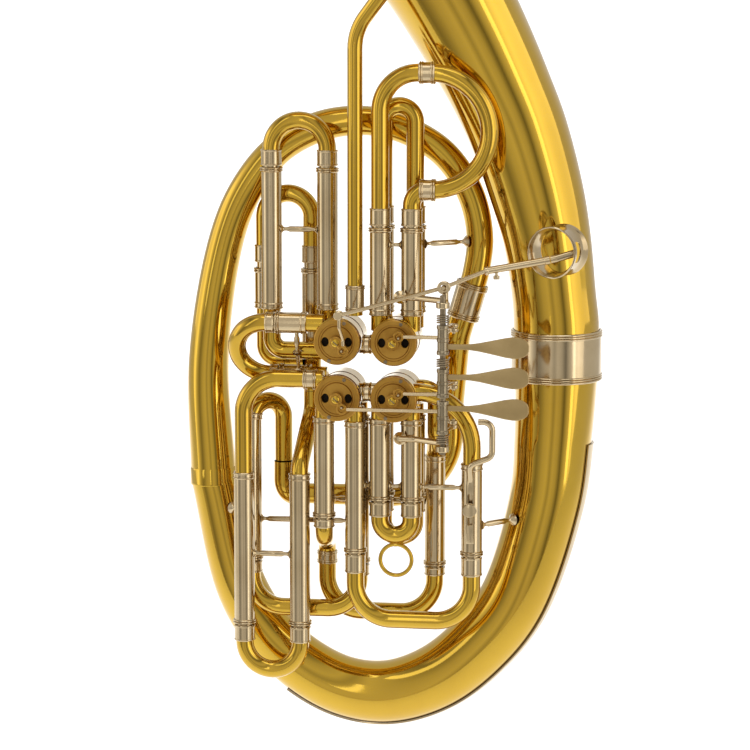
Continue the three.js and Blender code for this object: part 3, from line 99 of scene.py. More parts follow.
# materials: one dictionary for each finish
finishes = {
    "lacqueredBrass": {"color": (0.65, 0.405, 0.020), "dark": (0.57, 0.34, 0.014), "roughness": 0.05,
                       "spread": 0.05, "coat": 0.9, "scale": 14, "scratch": 0.02, "brushed": 0.0},
    # nickelSilver: the yellow tint is partly the metal's own warm tone and partly painted reflection of the
    # brass around it
    "nickelSilver": {"color": (0.64, 0.515, 0.325), "dark": (0.54, 0.415, 0.24), "roughness": 0.09,
                     "spread": 0.08, "coat": 0.0, "scale": 22, "scratch": 0.03, "brushed": 0.02},
    "satinGold": {"color": (0.54, 0.30, 0.055), "dark": (0.40, 0.20, 0.03), "roughness": 0.34,
                  "spread": 0.14, "coat": 0.1, "scale": 60, "scratch": 0.05, "brushed": 0.12},
    "satinLever": {"color": (0.52, 0.38, 0.18), "dark": (0.42, 0.30, 0.135), "roughness": 0.3,
                   "spread": 0.12, "coat": 0.1, "scale": 45, "scratch": 0.04, "brushed": 0.08},
    "bellBrass": {"color": (0.67, 0.42, 0.022), "dark": (0.60, 0.36, 0.016), "roughness": 0.06,
                  "spread": 0.05, "coat": 0.9, "scale": 9, "scratch": 0.015, "brushed": 0.0},
    "agedNickel": {"color": (0.40, 0.33, 0.22), "dark": (0.24, 0.19, 0.12), "roughness": 0.2,
                   "spread": 0.14, "coat": 0.0, "scale": 60, "scratch": 0.04, "brushed": 0.02},
    "blackenedSteel": {"color": (0.32, 0.25, 0.16), "dark": (0.20, 0.155, 0.10), "roughness": 0.38,
                       "spread": 0.12, "coat": 0.0, "scale": 70, "scratch": 0.06, "brushed": 0.0},
    "valveShadow": {"color": (0.035, 0.03, 0.022), "dark": (0.02, 0.016, 0.012), "roughness": 0.6,
                    "spread": 0.1, "coat": 0.0, "scale": 70, "scratch": 0.02, "brushed": 0.0},
    "springSteel": {"color": (0.44, 0.35, 0.23), "dark": (0.30, 0.24, 0.155), "roughness": 0.28,
                    "spread": 0.1, "coat": 0.0, "scale": 90, "scratch": 0.03, "brushed": 0.0},
}


def setSockets(node, values):
    for label, value in values.items():
        node.inputs[label].default_value = value


def addNode(tree, kind, values=None):  # a shader node with some of its sockets set
    node = tree.nodes.new("ShaderNode" + kind)
    setSockets(node, values or {})
    return node


def connect(tree, *wires):  # each wire: a node and its output, a node and its input
    for start, output, end, entry in wires:
        tree.links.new(start.outputs[output], end.inputs[entry])


def wearGroup():  # cloudy handling marks and hairline scratches, shared by every metal here
    group = bpy.data.node_groups.new("handlingWear", "ShaderNodeTree")
    sockets = (("INPUT", "Scale", "Float"), ("INPUT", "Clean", "Color"), ("INPUT", "Handled", "Color"),
               ("INPUT", "Roughness", "Float"), ("INPUT", "Spread", "Float"), ("INPUT", "Brushed", "Float"),
               ("OUTPUT", "Color", "Color"), ("OUTPUT", "Roughness", "Float"),
               ("OUTPUT", "Height", "Float"))
    for side, label, kind in sockets:
        group.interface.new_socket(name=label, in_out=side, socket_type="NodeSocket" + kind)
    groupIn = group.nodes.new("NodeGroupInput")
    groupOut = group.nodes.new("NodeGroupOutput")
    coordinates = addNode(group, "TexCoord")
    clouds = addNode(group, "TexNoise", {"Detail": 6, "Roughness": 0.6})
    cloudEdges = addNode(group, "MapRange", {"From Min": 0.38, "From Max": 0.72})
    tint = addNode(group, "Mix")
    tint.data_type = "RGBA"
    smears = addNode(group, "TexNoise", {"Scale": 55, "Detail": 4})
    smearRoughness = addNode(group, "Math")
    smearRoughness.operation = "MULTIPLY_ADD"
    stretch = addNode(group, "Mapping", {"Scale": (900, 900, 60)})
    hairs = addNode(group, "TexNoise", {"Scale": 1, "Detail": 3})
    grain = addNode(group, "TexNoise", {"Scale": 1500})
    relief = addNode(group, "Mix")
    relief.data_type = "FLOAT"
    connect(group, (coordinates, "Object", clouds, "Vector"), (groupIn, "Scale", clouds, "Scale"),
            (clouds, "Fac", cloudEdges, "Value"), (cloudEdges, "Result", tint, "Factor"),
            (groupIn, "Clean", tint, "A"), (groupIn, "Handled", tint, "B"),
            (tint, "Result", groupOut, "Color"),
            (coordinates, "Object", smears, "Vector"), (smears, "Fac", smearRoughness, 0),
            (groupIn, "Spread", smearRoughness, 1), (groupIn, "Roughness", smearRoughness, 2),
            (smearRoughness, "Value", groupOut, "Roughness"), (coordinates, "Object", stretch, "Vector"),
            (stretch, "Vector", hairs, "Vector"), (coordinates, "Object", grain, "Vector"),
            (groupIn, "Brushed", relief, "Factor"), (hairs, "Fac", relief, "A"),
            (grain, "Fac", relief, "B"), (relief, "Result", groupOut, "Height"))
    return group


handlingWear = wearGroup()
metalSize = {"coatRoughness": 0.05, "brushGain": 8, "scratchDepth": 0.0004}


def makeFinish(name):
    finish = finishes[name]
    material = bpy.data.materials.new(name)
    material.use_nodes = True
    tree = material.node_tree
    shader = tree.nodes["Principled BSDF"]
    setSockets(shader, {"Metallic": 1, "Coat Weight": finish["coat"],
                        "Coat Roughness": metalSize["coatRoughness"]})
    wear = addNode(tree, "Group")
    wear.node_tree = handlingWear
    setSockets(wear, {"Scale": finish["scale"], "Clean": (*finish["color"], 1),
                      "Handled": (*finish["dark"], 1),
                      "Roughness": finish["roughness"], "Spread": finish["spread"],
                      "Brushed": finish["brushed"] * metalSize["brushGain"]})
    bump = addNode(tree, "Bump", {"Strength": finish["scratch"], "Distance": metalSize["scratchDepth"]})
    connect(tree, (wear, "Color", shader, "Base Color"), (wear, "Roughness", shader, "Roughness"),
            (wear, "Height", bump, "Height"), (bump, "Normal", shader, "Normal"))
    return material


metals = {name: makeFinish(name) for name in finishes}


def paint(piece, finish):
    piece.data.materials.clear()
    piece.data.materials.append(metals[finish])
    return piece


def assign(piece, body, node):  # the body it moves with, the solid it stands for
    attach(piece, body)
    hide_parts(node)
    return piece


# tube work: a path of straight runs and bends, and a round section along it
def bentPath(corners, bends, degrees=6):
    path = [corners[0].copy()]
    for i in range(1, len(corners) - 1):
        into = (corners[i] - corners[i - 1]).normalized()
        out = (corners[i + 1] - corners[i]).normalized()
        angle = into.angle(out)
        radius = (bends[i - 1] if isinstance(bends, (list, tuple)) else bends) * mm
        axis = into.cross(out).normalized()
        start = corners[i] - into * radius * math.tan(angle / 2)
        centre = start + axis.cross(into) * radius
        steps = max(2, math.ceil(math.degrees(angle) / degrees))
        for k in range(steps + 1):
            place = centre + Quaternion(axis, angle * k / steps) @ (start - centre)
            if (place - path[-1]).length > 0.0002:
                path.append(place)
    if (corners[-1] - path[-1]).length > 0.0002:
        path.append(corners[-1].copy())
    return path


def cutPath(path, start, end):  # the stretch of a path between two distances in millimetres
    start, end = start * mm, end * mm
    kept = []
    travelled = 0.0
    for a, b in zip(path, path[1:]):
        length = (b - a).length
        low = max(start, travelled)
        high = min(end, travelled + length)
        if high > low + 1e-7:
            first = a.lerp(b, (low - travelled) / length)
            if not kept or (first - kept[-1]).length > 1e-6:
                kept.append(first)
            kept.append(a.lerp(b, (high - travelled) / length))
        travelled += length
    return kept


def pathLength(path):
    return sum((b - a).length for a, b in zip(path, path[1:])) / mm


def drawTube(name, path, radii, finish, sides=32, wall=0.0, caps=False):
    deselectAll()
    bpy.ops.curve.primitive_nurbs_path_add(location=(0, 0, 0))
    wire = bpy.context.object
    wire.data.splines.clear()
    spline = wire.data.splines.new("POLY")
    spline.points.add(len(path) - 1)
    for i, place in enumerate(path):
        spline.points[i].co = (*place, 1)
        spline.points[i].radius = radii[i] * mm if isinstance(radii, list) else radii * mm
    wire.data.dimensions = "3D"
    wire.data.twist_mode = "MINIMUM"
    wire.data.bevel_depth = 1
    wire.data.bevel_resolution = sides // 4 - 1
    wire.data.use_fill_caps = caps
    bpy.ops.object.convert(target="MESH")
    piece = bpy.context.object
    piece.name = name
    if wall:
        shell = piece.modifiers.new("wall", "SOLIDIFY")
        shell.thickness = wall * mm
        shell.offset = -1
        bpy.ops.object.modifier_apply(modifier="wall")
    settle(piece)
    smooth(piece, 50)
    return paint(piece, finish)


def startMesh(name, places, edges, faces):  # a plane whose mesh is laid out anew, left open in edit mode
    deselectAll()
    bpy.ops.mesh.primitive_plane_add(location=(0, 0, 0))
    piece = bpy.context.object
    piece.name = name
    piece.data.clear_geometry()
    piece.data.from_pydata(places, edges, faces)
    bpy.ops.object.mode_set(mode="EDIT")
    bpy.ops.mesh.select_all(action="SELECT")
    return piece


def turnPiece(name, profile, centre, axis, finish="nickelSilver", steps=48, angle=40):
    corners = [(r * mm, 0, h * mm) for r, h in profile]  # radius and height, spun round the axis
    edges = [(i, i + 1) for i in range(len(corners) - 1)]
    if profile[0][0] > 0:
        edges.append((len(corners) - 1, 0))
    piece = startMesh(name, corners, edges, [])
    bpy.ops.mesh.spin(steps=steps, angle=2 * math.pi, center=(0, 0, 0), axis=(0, 0, 1))
    bpy.ops.mesh.select_all(action="SELECT")
    bpy.ops.mesh.remove_doubles(threshold=1e-6)
    bpy.ops.mesh.normals_make_consistent(inside=False)
    bpy.ops.object.mode_set(mode="OBJECT")
    turn = up.rotation_difference(Vector(axis).normalized())
    piece.matrix_world = Matrix.Translation(centre) @ turn.to_matrix().to_4x4()
    settle(piece)
    smooth(piece, angle)
    return paint(piece, finish)


def disc(bore, radius, height, slant=0, edge=0):  # outline of a disc or ring, its edges slanted if asked
    if not edge:
        return [(bore, 0), (radius, 0), (radius, height), (bore, height)]
    return [(bore, 0), (radius - slant, 0), (radius, edge), (radius, height - edge),
            (radius - slant, height), (bore, height)]


def linedRing(name, size, lining, place, axis, steps=32):  # a nickel band with turned lines at both ends
    inner, outer, height = size
    lines, lineHeight, rise = lining
    profile = [(inner, 0), (outer, 0)]
    z = 0.3
    for k in range(lines):
        profile += [(outer + rise * 0.6, z), (outer + rise, z + lineHeight * 0.3),
                    (outer + rise, z + lineHeight * 0.7), (outer + rise * 0.6, z + lineHeight),
                    (outer, z + lineHeight + 0.15)]
        z += lineHeight + 0.45
    profile += [(r, height - h) for r, h in reversed(profile)]
    return turnPiece(name, profile, place, axis, "nickelSilver", steps, 25)


def cutAway(piece, cutter, name):
    pick(piece)
    cut = piece.modifiers.new(name, "BOOLEAN")
    cut.object = cutter
    cut.operation = "DIFFERENCE"
    cut.solver = "EXACT"
    bpy.ops.object.modifier_apply(modifier=name)


def tangent(before, here, after, gapBefore, gapAfter):
    return (here - before) / gapBefore - (after - before) / (gapBefore + gapAfter) + (after - here) / gapAfter


def throughPoints(places, values, perSpan=8):  # a smooth curve through given places, with a value at each
    count = len(places)
    path, along = [], []
    for i in range(count - 1):
        before, after = max(0, i - 1), min(count - 1, i + 2)
        p0, p1, p2, p3 = places[before], places[i], places[i + 1], places[after]
        v0, v1, v2, v3 = values[before], values[i], values[i + 1], values[after]
        d01 = max((p1 - p0).length, 1e-9) ** 0.5
        d12 = max((p2 - p1).length, 1e-9) ** 0.5
        d23 = max((p3 - p2).length, 1e-9) ** 0.5
        m1, n1 = p2 - p1, v2 - v1
        m2, n2 = m1, n1
        if i > 0:
            m1 = tangent(p0, p1, p2, d01, d12) * d12
            n1 = tangent(v0, v1, v2, d01, d12) * d12
        if i < count - 2:
            m2 = tangent(p1, p2, p3, d12, d23) * d12
            n2 = tangent(v1, v2, v3, d12, d23) * d12
        for k in range(perSpan):
            t = k / perSpan
            a = 2 * t ** 3 - 3 * t ** 2 + 1
            b = t ** 3 - 2 * t ** 2 + t
            c = -2 * t ** 3 + 3 * t ** 2
            d = t ** 3 - t ** 2
            path.append(p1 * a + m1 * b + p2 * c + m2 * d)
            along.append(v1 * a + n1 * b + v2 * c + n2 * d)
    path.append(places[-1].copy())
    along.append(values[-1])
    return path, along


# main tube: the oval's centre line in shares of its half width and half height, and the tube's radius
oval = {"halfWidth": 122.5, "halfHeight": 202.3, "x": -6.2, "z": 226.2, "tube": 28.7, "seam": 0.15}
ovalRows = [
    (1, 0.123, 1), (0.985, -0.088, 0.944), (0.948, -0.298, 0.902), (0.767, -0.654, 0.854),
    (0.57, -0.818, 0.836), (0.327, -0.94, 0.815), (0.051, -1, 0.78), (-0.209, -0.988, 0.746),
    (-0.451, -0.916, 0.714), (-0.653, -0.803, 0.672), (-0.818, -0.64, 0.634), (-0.976, -0.254, 0.564),
    (-1, 0.167, 0.495), (-0.89, 0.589, 0.432), (-0.769, 0.765, 0.411), (-0.59, 0.899, 0.387),
    (-0.342, 0.98, 0.376), (-0.094, 1, 0.359), (0.131, 0.971, 0.348), (0.357, 0.89, 0.341),
    (0.506, 0.757, 0.334), (0.562, 0.608, 0.329), (0.541, 0.485, 0.329), (0.495, 0.388, 0.328),
]
lapRow = 11
bell = {"rim": 118, "length": 290, "scale": 80, "power": 0.7, "lean": 29.5, "wall": 1.2, "bead": 2.6,
        "steps": 24}
bellRows = [
    (1, 0.295, 1.04), (0.985, 0.403, 1.018), (0.94, 0.612, 1.06), (0.887, 0.752, 1.12),
    (0.78, 0.961, 1.185), (0.682, 1.1, 1.225), (0.57, 1.238, 1.29), (0.382, 1.446, 1.397),
]


def onOval(row):
    return point(oval["x"] + oval["halfWidth"] * row[0], 0, oval["z"] + oval["halfHeight"] * row[1])


def alongOval(rows):
    return [onOval(row) for row in rows], [oval["tube"] * row[2] for row in rows]


sideX = oval["x"] + oval["halfWidth"]
garlandZ = oval["z"] + oval["halfHeight"] * (ovalRows[0][1] + bellRows[0][1]) / 2
garlandRadius = oval["tube"] * (ovalRows[0][2] + bellRows[0][2]) / 2
lean = math.radians(bell["lean"])
bellAxis = Vector((-math.sin(lean), 0, math.cos(lean)))

bellPlaces, bellRadii = alongOval(bellRows)
bellPlaces.insert(0, point(sideX, 0, garlandZ + oval["seam"]))
bellRadii.insert(0, garlandRadius)
neck = bellPlaces[-1]
for k in range(1, bell["steps"] + 1):
    share = (k / bell["steps"]) ** 0.85
    bellPlaces.append(neck + bellAxis * bell["length"] * share * mm)
    toGo = bell["length"] * (1 - share) + bell["scale"]
    bellRadii.append(bell["rim"] * (bell["scale"] / toGo) ** bell["power"])
bellPath, bellAlong = throughPoints(bellPlaces, bellRadii, 5)
bellTube = drawTube("bellTube", bellPath, bellAlong, "bellBrass", 96, bell["wall"])
rimCentre = neck + bellAxis * (bell["length"] - bell["bead"]) * mm
beadProfile = [(bell["rim"] + 1.2 + bell["bead"] * 0.9 * (math.cos(t) - 0.6), bell["bead"] * math.sin(t))
               for t in [2 * math.pi * k / 14 for k in range(14)]]
rimBead = turnPiece("rimBead", beadProfile, rimCentre, bellAxis, "bellBrass", 96)
assign(joinPieces([bellTube, rimBead], "bellFlare"), "tuba", "bell")

bowPlaces, bowRadii = alongOval(ovalRows[:lapRow + 1])
lapPlace = bowPlaces[-1]
bowPlaces.insert(0, point(sideX, 0, garlandZ - oval["seam"]))
bowRadii.insert(0, garlandRadius)
bowSteps = 14
bowPath, bowAlong = throughPoints(bowPlaces, bowRadii, bowSteps)
assign(drawTube("lowerBow", bowPath, bowAlong, "bellBrass", 72), "tuba", "bottom_bow")

branchPlaces, branchRadii = alongOval(ovalRows[lapRow:])
lapDirection = (branchPlaces[1] - lapPlace).normalized()
branchPlaces[0] = lapPlace + lapDirection * 2 * oval["seam"] * mm
branchPath, branchAlong = throughPoints(branchPlaces, branchRadii, 12)
branch = drawTube("upperBranch", branchPath, branchAlong, "bellBrass", 48)
lapRing = turnPiece("lapRing", [(16.1, -4), (16.5, -3.9), (16.7, -3.2), (16.6, -2.6), (16.5, 7), (16.2, 8),
                                (15.7, 8)], branchPlaces[0], lapDirection, "bellBrass")
assign(joinPieces([branch, lapRing], "upperBranchTube"), "tuba", "upper_branch")
print("main tube drawn")

# garland, branch ferrule and tail branch
garland = {"low": oval["z"] + oval["halfHeight"] * ovalRows[0][1],
           "height": oval["halfHeight"] * (bellRows[0][1] - ovalRows[0][1]), "inner": 30.15, "outer": 31.15}
band = linedRing("bellGarland", (garland["inner"], garland["outer"], garland["height"]), (3, 1.1, 0.7),
                 point(sideX, 0, garland["low"]), up, 96)
assign(band, "tuba", "bell_garland")
ferrule = {"length": 26, "inner": 10.1, "outer": 10.8}
branchEnd = branchPlaces[-1]
branchDirection = (branchEnd - branchPlaces[-2]).normalized()
band = linedRing("branchFerrule", (ferrule["inner"], ferrule["outer"], ferrule["length"]), (3, 1.0, 0.7),
                 branchEnd - branchDirection * ferrule["length"] / 2 * mm, branchDirection, 48)
assign(band, "tuba", "branch_ferrule")
tail = {"x": 42, "cornerZ": 163, "leftX": -74.6, "topZ": 189, "startRadius": 9.41, "radius": 6.9, "arc": 45,
        "bend": 13, "behind": 11, "rear": -5}
ferruleEnd = branchEnd + branchDirection * ferrule["length"] * mm
tailCorners = [
    branchEnd + branchDirection * 0.3 * mm, ferruleEnd,
    Vector((tail["x"] * mm, 0.011, ferruleEnd.z - 0.052)),
    point(tail["x"], tail["behind"], tail["cornerZ"]),
    point(tail["leftX"] + tail["bend"], tail["behind"], tail["cornerZ"]),
    point(tail["leftX"], tail["rear"], tail["cornerZ"]), point(tail["leftX"], tail["rear"], tail["topZ"]),
]
tailPath = bentPath(tailCorners, [26, 26, tail["arc"], tail["bend"] / 2, tail["bend"]])
tailFull = pathLength(tailPath)
travelled, tailRadii = 0.0, []
for a, b in zip(tailPath, tailPath[1:] + [tailPath[-1]]):
    tailRadii.append(tail["startRadius"] + (tail["radius"] - tail["startRadius"]) * travelled / tailFull)
    travelled += (b - a).length / mm
assign(drawTube("tailTube", tailPath, tailRadii, "lacqueredBrass", 40), "tuba", "tail_branch")

# slide tubing: radii of the tubes, and how far a brass tube laps into its nickel sleeve
slideTube = {"sleeve": 7.2, "bore": 6.6, "tube": 6.2, "leg": 5.7, "legWall": 0.7, "lap": 2}


def directionAt(path, distance):
    stretch = cutPath(path, max(0, distance - 0.3), distance + 0.3)
    return stretch[0].lerp(stretch[-1], 0.5), (stretch[-1] - stretch[0]).normalized()


def sleevePieces(path, shown, name):  # nickel sleeve with a turned mouth, soldered on its brass tube
    full = pathLength(path)
    shown = min(shown, full)
    sleeve, bore, tube, lap = (slideTube[key] for key in ("sleeve", "bore", "tube", "lap"))
    pieces = [drawTube(name + "Sleeve", cutPath(path, 0.6, shown), sleeve, "nickelSilver", 32,
                       sleeve - bore),
              linedRing(name + "Mouth", (bore, sleeve + 0.1, 3.4), (1, 1.2, 0.8), path[0],
                        path[1] - path[0])]
    if full > shown + lap:
        pieces.append(drawTube(name + "Tube", cutPath(path, shown - lap, full), tube, "lacqueredBrass", 28,
                               caps=True))
        place, direction = directionAt(path, shown - 2 * lap)
        pieces.append(linedRing(name + "Ring", (tube, sleeve + 0.1, 4.5), (1, 0.9, 0.5), place, direction))
    return pieces


stay = {"radius": 1.3, "swell": 0.7, "foot": [(0, 0), (3.3, 0), (3.0, 0.5), (1.7, 1.4)]}


def bracePieces(a, b, name):  # a turned stay: thicker in the middle, a flared foot at each end
    length, radius = (b - a).length / mm, stay["radius"]
    half = stay["foot"] + [(radius, 2.4)]
    if length > 15:
        half += [(radius, 4), (radius + stay["swell"], 6)]
    profile = half + [(r, length - h) for r, h in reversed(half)]
    return [turnPiece(name, profile, a, b - a, "nickelSilver", 16, 35)]


def bodyBrace(a, places, radii, name):  # a stay from a sleeve to the body tube's skin
    for i in range(len(places) - 1):
        low, high = places[i], places[i + 1]
        if low.x * a.x > 0 and (low.z - a.z) * (high.z - a.z) <= 0:
            share = (a.z - low.z) / (high.z - low.z)
            target, bodyRadius = low.lerp(high, share), radii[i] + (radii[i + 1] - radii[i]) * share
            break
    length = (target - a).length / mm - bodyRadius - 0.6
    radius, thick = stay["radius"], stay["radius"] + stay["swell"]
    profile = stay["foot"] + [(radius, 2.4), (radius, 4), (thick, 6), (thick, length - 8),
                              (radius, length - 6),
                              (radius, length - 3.6), (1.9, length - 2.2), (3.6, length - 0.6),
                              (4.2, length), (0, length)]
    return [turnPiece(name, profile, a, target - a, "nickelSilver", 20, 35)]


def crookPieces(path, size, name):  # two nickel legs, a ferrule on each, and the brass bow between them
    full = pathLength(path)
    end, tube = size["depth"] + size["stub"], slideTube["tube"]
    bowStart = end + size["ring"] - 3
    pieces = [drawTube(name + "Bow", cutPath(path, bowStart, full - bowStart), tube, "lacqueredBrass", 32)]
    for label, low, high in (("A", 0, end + 2), ("B", full - end - 2, full)):
        pieces.append(drawTube(name + "Leg" + label, cutPath(path, low, high), slideTube["leg"],
                               "nickelSilver", 24, slideTube["legWall"]))
    for label, start, flip in (("A", end, 1), ("B", full - end, -1)):
        place, direction = directionAt(path, start + flip * 0.4)
        pieces.append(linedRing(name + "Ferrule" + label,
                                (tube - 0.1, slideTube["sleeve"] - 0.1, size["ring"]),
                                (1, 0.9, 0.35), place - direction * flip * 0.4 * mm, direction * flip))
    return pieces


def corners(*places):
    return [point(*place) for place in places]


def sleeveSet(name, node, sleeves, braces, stays=()):
    pieces = list(stays)
    for k, (places, bends, shown) in enumerate(sleeves):
        pieces += sleevePieces(bentPath(corners(*places), bends), shown, f"{name}{k}")
    for k, (a, b) in enumerate(braces):
        pieces += bracePieces(point(*a), point(*b), f"{name}Brace{k}")
    return assign(joinPieces(pieces, name), "tuba", node)


def crookOf(name, node, body, places, size, extras=()):
    pieces = crookPieces(bentPath(corners(*places), size["bend"]), size, name) + list(extras)
    return assign(joinPieces(pieces, name), body, node)


def upright(x, deck, mouth, end):
    return [(x, deck, mouth), (x, deck, end)]


def uBend(size, deck):  # leg, bow and leg of a crook that stands in two upright sleeves
    a, b = size["legs"]
    start = size["mouth"] + math.copysign(size["depth"], size["mouth"] - size["bow"])
    return [(a, deck, start), (a, deck, size["bow"]), (b, deck, size["bow"]), (b, deck, start)]


def levelBrace(a, b, deck, z):  # between two sleeves of one deck, a to the left of b
    return (a + clear, deck, z), (b - clear, deck, z)


def deckBrace(x, z):  # between the front and the middle deck
    return (x, front + clear, z), (x, middle - clear, z)


front, middle, rear = -41, -23, -5  # the centre planes of the three decks of tubes
thumbAxis, firstAxis = (-29.5, 281.5), (9.5, 281.5)
thirdAxis, secondAxis = (-29.5, 242.5), (9.5, 242.5)
port, short, beside = 10.9, 7, 11  # from a valve's axis to a port, and to where the tubes end at it
elbow = 9.2
clear = slideTube["sleeve"] - 0.4  # where a stay meets a sleeve
bandOuter, bandInner = slideTube["sleeve"] - 0.3, slideTube["tube"] - 0.1

# thumb valve, front slide
topFront = {"legs": (thumbAxis[0] - port, thumbAxis[0] - port - 39), "mouth": 398, "bow": 430, "depth": 34,
            "bend": 19.5, "level": 270.6, "brace": 355, "shown": 98, "stub": 1, "ring": 11}
right, left = topFront["legs"]
sleeveSet("topFrontSleeves", "slide_1_sleeves", [
    (upright(right, middle, topFront["mouth"], thumbAxis[1] + short), 0, topFront["shown"]),
    ([(left, middle, topFront["mouth"]), (left, middle, topFront["level"]),
      (thumbAxis[0] - beside - 2, middle, topFront["level"])], elbow, topFront["shown"]),
], [levelBrace(left, right, middle, topFront["brace"])[::-1]])
crookOf("topFrontCrook", "slide_1_crook", "slide_1", uBend(topFront, middle), topFront)

# thumb valve, rear slide
topRear = {"legs": (-87.3, -54.1), "mouth": 326, "bow": 378, "depth": 22, "bend": 16.6, "low": 240,
           "level": 262, "end": -60.2, "shown": (56, 28), "stub": 4, "ring": 12}
left, right = topRear["legs"]
sleeveSet("topRearSleeves", "slide_2_sleeves", [
    (upright(right, rear, topRear["mouth"], topRear["low"]), 0, topRear["shown"][0]),
    ([(left, rear, topRear["mouth"]), (left, rear, topRear["level"]),
      (topRear["end"], rear, topRear["level"])],
     elbow, topRear["shown"][1]),
], [])
crookOf("topRearCrook", "slide_2_crook", "slide_2", uBend(topRear, rear), topRear)

# left slide, from the thumb valve in front to the third valve behind
side = {"mouth": -74, "arch": -81, "high": 292.4, "low": 253.4, "depth": 17, "shown": 21.8, "brace": -60,
        "bend": math.hypot(thumbAxis[1] - thirdAxis[1], middle - front) / 2, "stub": 0.6, "ring": 6}
braceBend = (side["brace"], front + 6.4, 271)
sleeveSet("sideSleeves", "slide_3_sleeves", [
    ([(side["mouth"], deck, z), (thumbAxis[0] - beside, deck, z)], 0, side["shown"])
    for deck, z in ((front, side["high"]), (middle, side["low"]))
], [((side["brace"], front + 5, 286.6), braceBend), (braceBend, (side["brace"], middle - 4, 258.2))])
sideArch, sideLeg = side["arch"] - side["bend"], side["mouth"] + side["depth"]
crookOf("sideCrook", "slide_3_crook", "slide_3", [
    (sideLeg, front, side["high"]), (sideArch, front, side["high"]), (sideArch, middle, side["low"]),
    (sideLeg, middle, side["low"])], side)

# third valve, left slide downwards
longLeft = {"legs": (-96.7, -57.5), "mouth": 80, "bow": 47.5, "depth": 34, "bend": 19.6, "level": 253.4,
            "corner": 24.5, "jog": (192, 226, 239.7), "brace": 130, "collar": -54.3, "shown": 107,
            "stub": 1, "ring": 11}
left, right = longLeft["legs"]
jogX = topRear["legs"][1]
longLeftCollar = linedRing("longLeftCollar", (bandInner, bandOuter, 9.2), (2, 0.9, 0.3),
                           point(longLeft["collar"], front, longLeft["level"]), (1, 0, 0))
sleeveSet("longLeftSleeves", "slide_4_sleeves", [
    ([(left, front, longLeft["mouth"]), (left, front, longLeft["level"]),
      (thirdAxis[0] - beside, front, longLeft["level"])], longLeft["corner"], longLeft["shown"]),
    ([(right, front, longLeft["mouth"]), (right, front, longLeft["jog"][0]),
      (jogX, rear, longLeft["jog"][1]), (jogX, rear, longLeft["jog"][2])], port, longLeft["shown"]),
], [levelBrace(left, right, front, longLeft["brace"])], [longLeftCollar])
crookOf("longLeftCrook", "slide_4_crook", "slide_4", uBend(longLeft, front), longLeft)

# third valve, wide slide downwards in the middle deck
wide = {"legs": (-94.5, thirdAxis[0] + port), "mouth": 122, "bow": 88.3, "depth": 34, "bend": 22,
        "level": 233.2,
        "corner": 13.4, "back": (-74.6, 190), "brace": 151, "stay": 156, "shown": 104, "stub": 1, "ring": 8}
left, right = wide["legs"]
sleeveSet("wideSleeves", "slide_5_sleeves", [
    ([(left, middle, wide["mouth"]), (left, middle, wide["level"]), (wide["back"][0], rear, wide["level"]),
      (wide["back"][0], rear, wide["back"][1])], wide["corner"], wide["shown"]),
    (upright(right, middle, wide["mouth"], thirdAxis[1] - short), 0, wide["shown"]),
], [levelBrace(left, right, middle, wide["brace"])],
    bodyBrace(point(left - clear, middle, wide["stay"]), bowPlaces, bowRadii, "lowerLeftStay"))
crookOf("wideCrook", "slide_5_crook", "slide_5", uBend(wide, middle), wide)

# main tuning slide
mainSlide = {"top": thirdAxis[0] - port, "low": -43.8, "right": 32.5, "mouth": 157.2, "rightMouth": 117.7,
             "bow": 83,
             "depth": 22, "bend": [9, 9, 24, 24], "brace": 163.2, "shown": (70, 78), "band": 126, "stub": 1,
             "ring": 6}
mainPort = secondAxis[1] + 3.4
left, right, braceZ = mainSlide["top"], mainSlide["right"], mainSlide["brace"]
sleeveSet("mainSleeves", "main_slide_sleeves", [
    (upright(left, front, mainSlide["mouth"], thirdAxis[1] - short), 0, mainSlide["shown"][0]),
    ([(right, rear, mainSlide["rightMouth"]), (right, rear, 200), (35.4, middle, 216),
      (35.4, middle, mainPort), (secondAxis[0] + beside, middle, mainPort)], elbow, mainSlide["shown"][1]),
], [((left, front + clear, braceZ), (left, rear, braceZ)),
    ((left, rear, braceZ), (right - clear, rear, braceZ))])
jogBand = linedRing("mainCrookBand", (bandInner, bandOuter + 0.1, 9), (2, 0.9, 0.3),
                    point(mainSlide["low"], rear, mainSlide["band"]), -up)
crookOf("mainCrook", "main_slide_crook", "main_slide", [
    (left, front, mainSlide["mouth"] + mainSlide["depth"]), (left, front, 143),
    (mainSlide["low"], rear, 133),
    (mainSlide["low"], rear, mainSlide["bow"]), (right, rear, mainSlide["bow"]),
    (right, rear, mainSlide["rightMouth"] + mainSlide["depth"])], mainSlide, [jogBand])

# front deck: wide slide of the third valve, short slides of the second valve
frontWide = {"legs": (thirdAxis[0] + port, 62.3), "mouth": 132.9, "bow": 86, "depth": 34, "bend": 25,
             "corner": 38, "stay": 154.5, "shown": (92, 64), "stub": 1, "ring": 13}
second = {"legs": (secondAxis[0] - port, secondAxis[0] + port), "mouth": 170.1, "bow": 145.8,
          "rearBow": 140.9, "depth": 22, "bend": port, "brace": 180.1, "shown": 57, "stub": 1, "ring": 10}
wideLeft, wideRight = frontWide["legs"]
left, right = second["legs"]
secondSleeves = [
    (upright(wideLeft, front, frontWide["mouth"], thirdAxis[1] - short), 0, frontWide["shown"][0]),
    ([(wideRight, front, frontWide["mouth"]), (wideRight, front, mainPort),
      (secondAxis[0] + beside, front, mainPort)], frontWide["corner"], frontWide["shown"][1]),
]
for deck in (front, middle):
    for x in (left, right):
        secondSleeves.append((upright(x, deck, second["mouth"], secondAxis[1] - short), 0, second["shown"]))
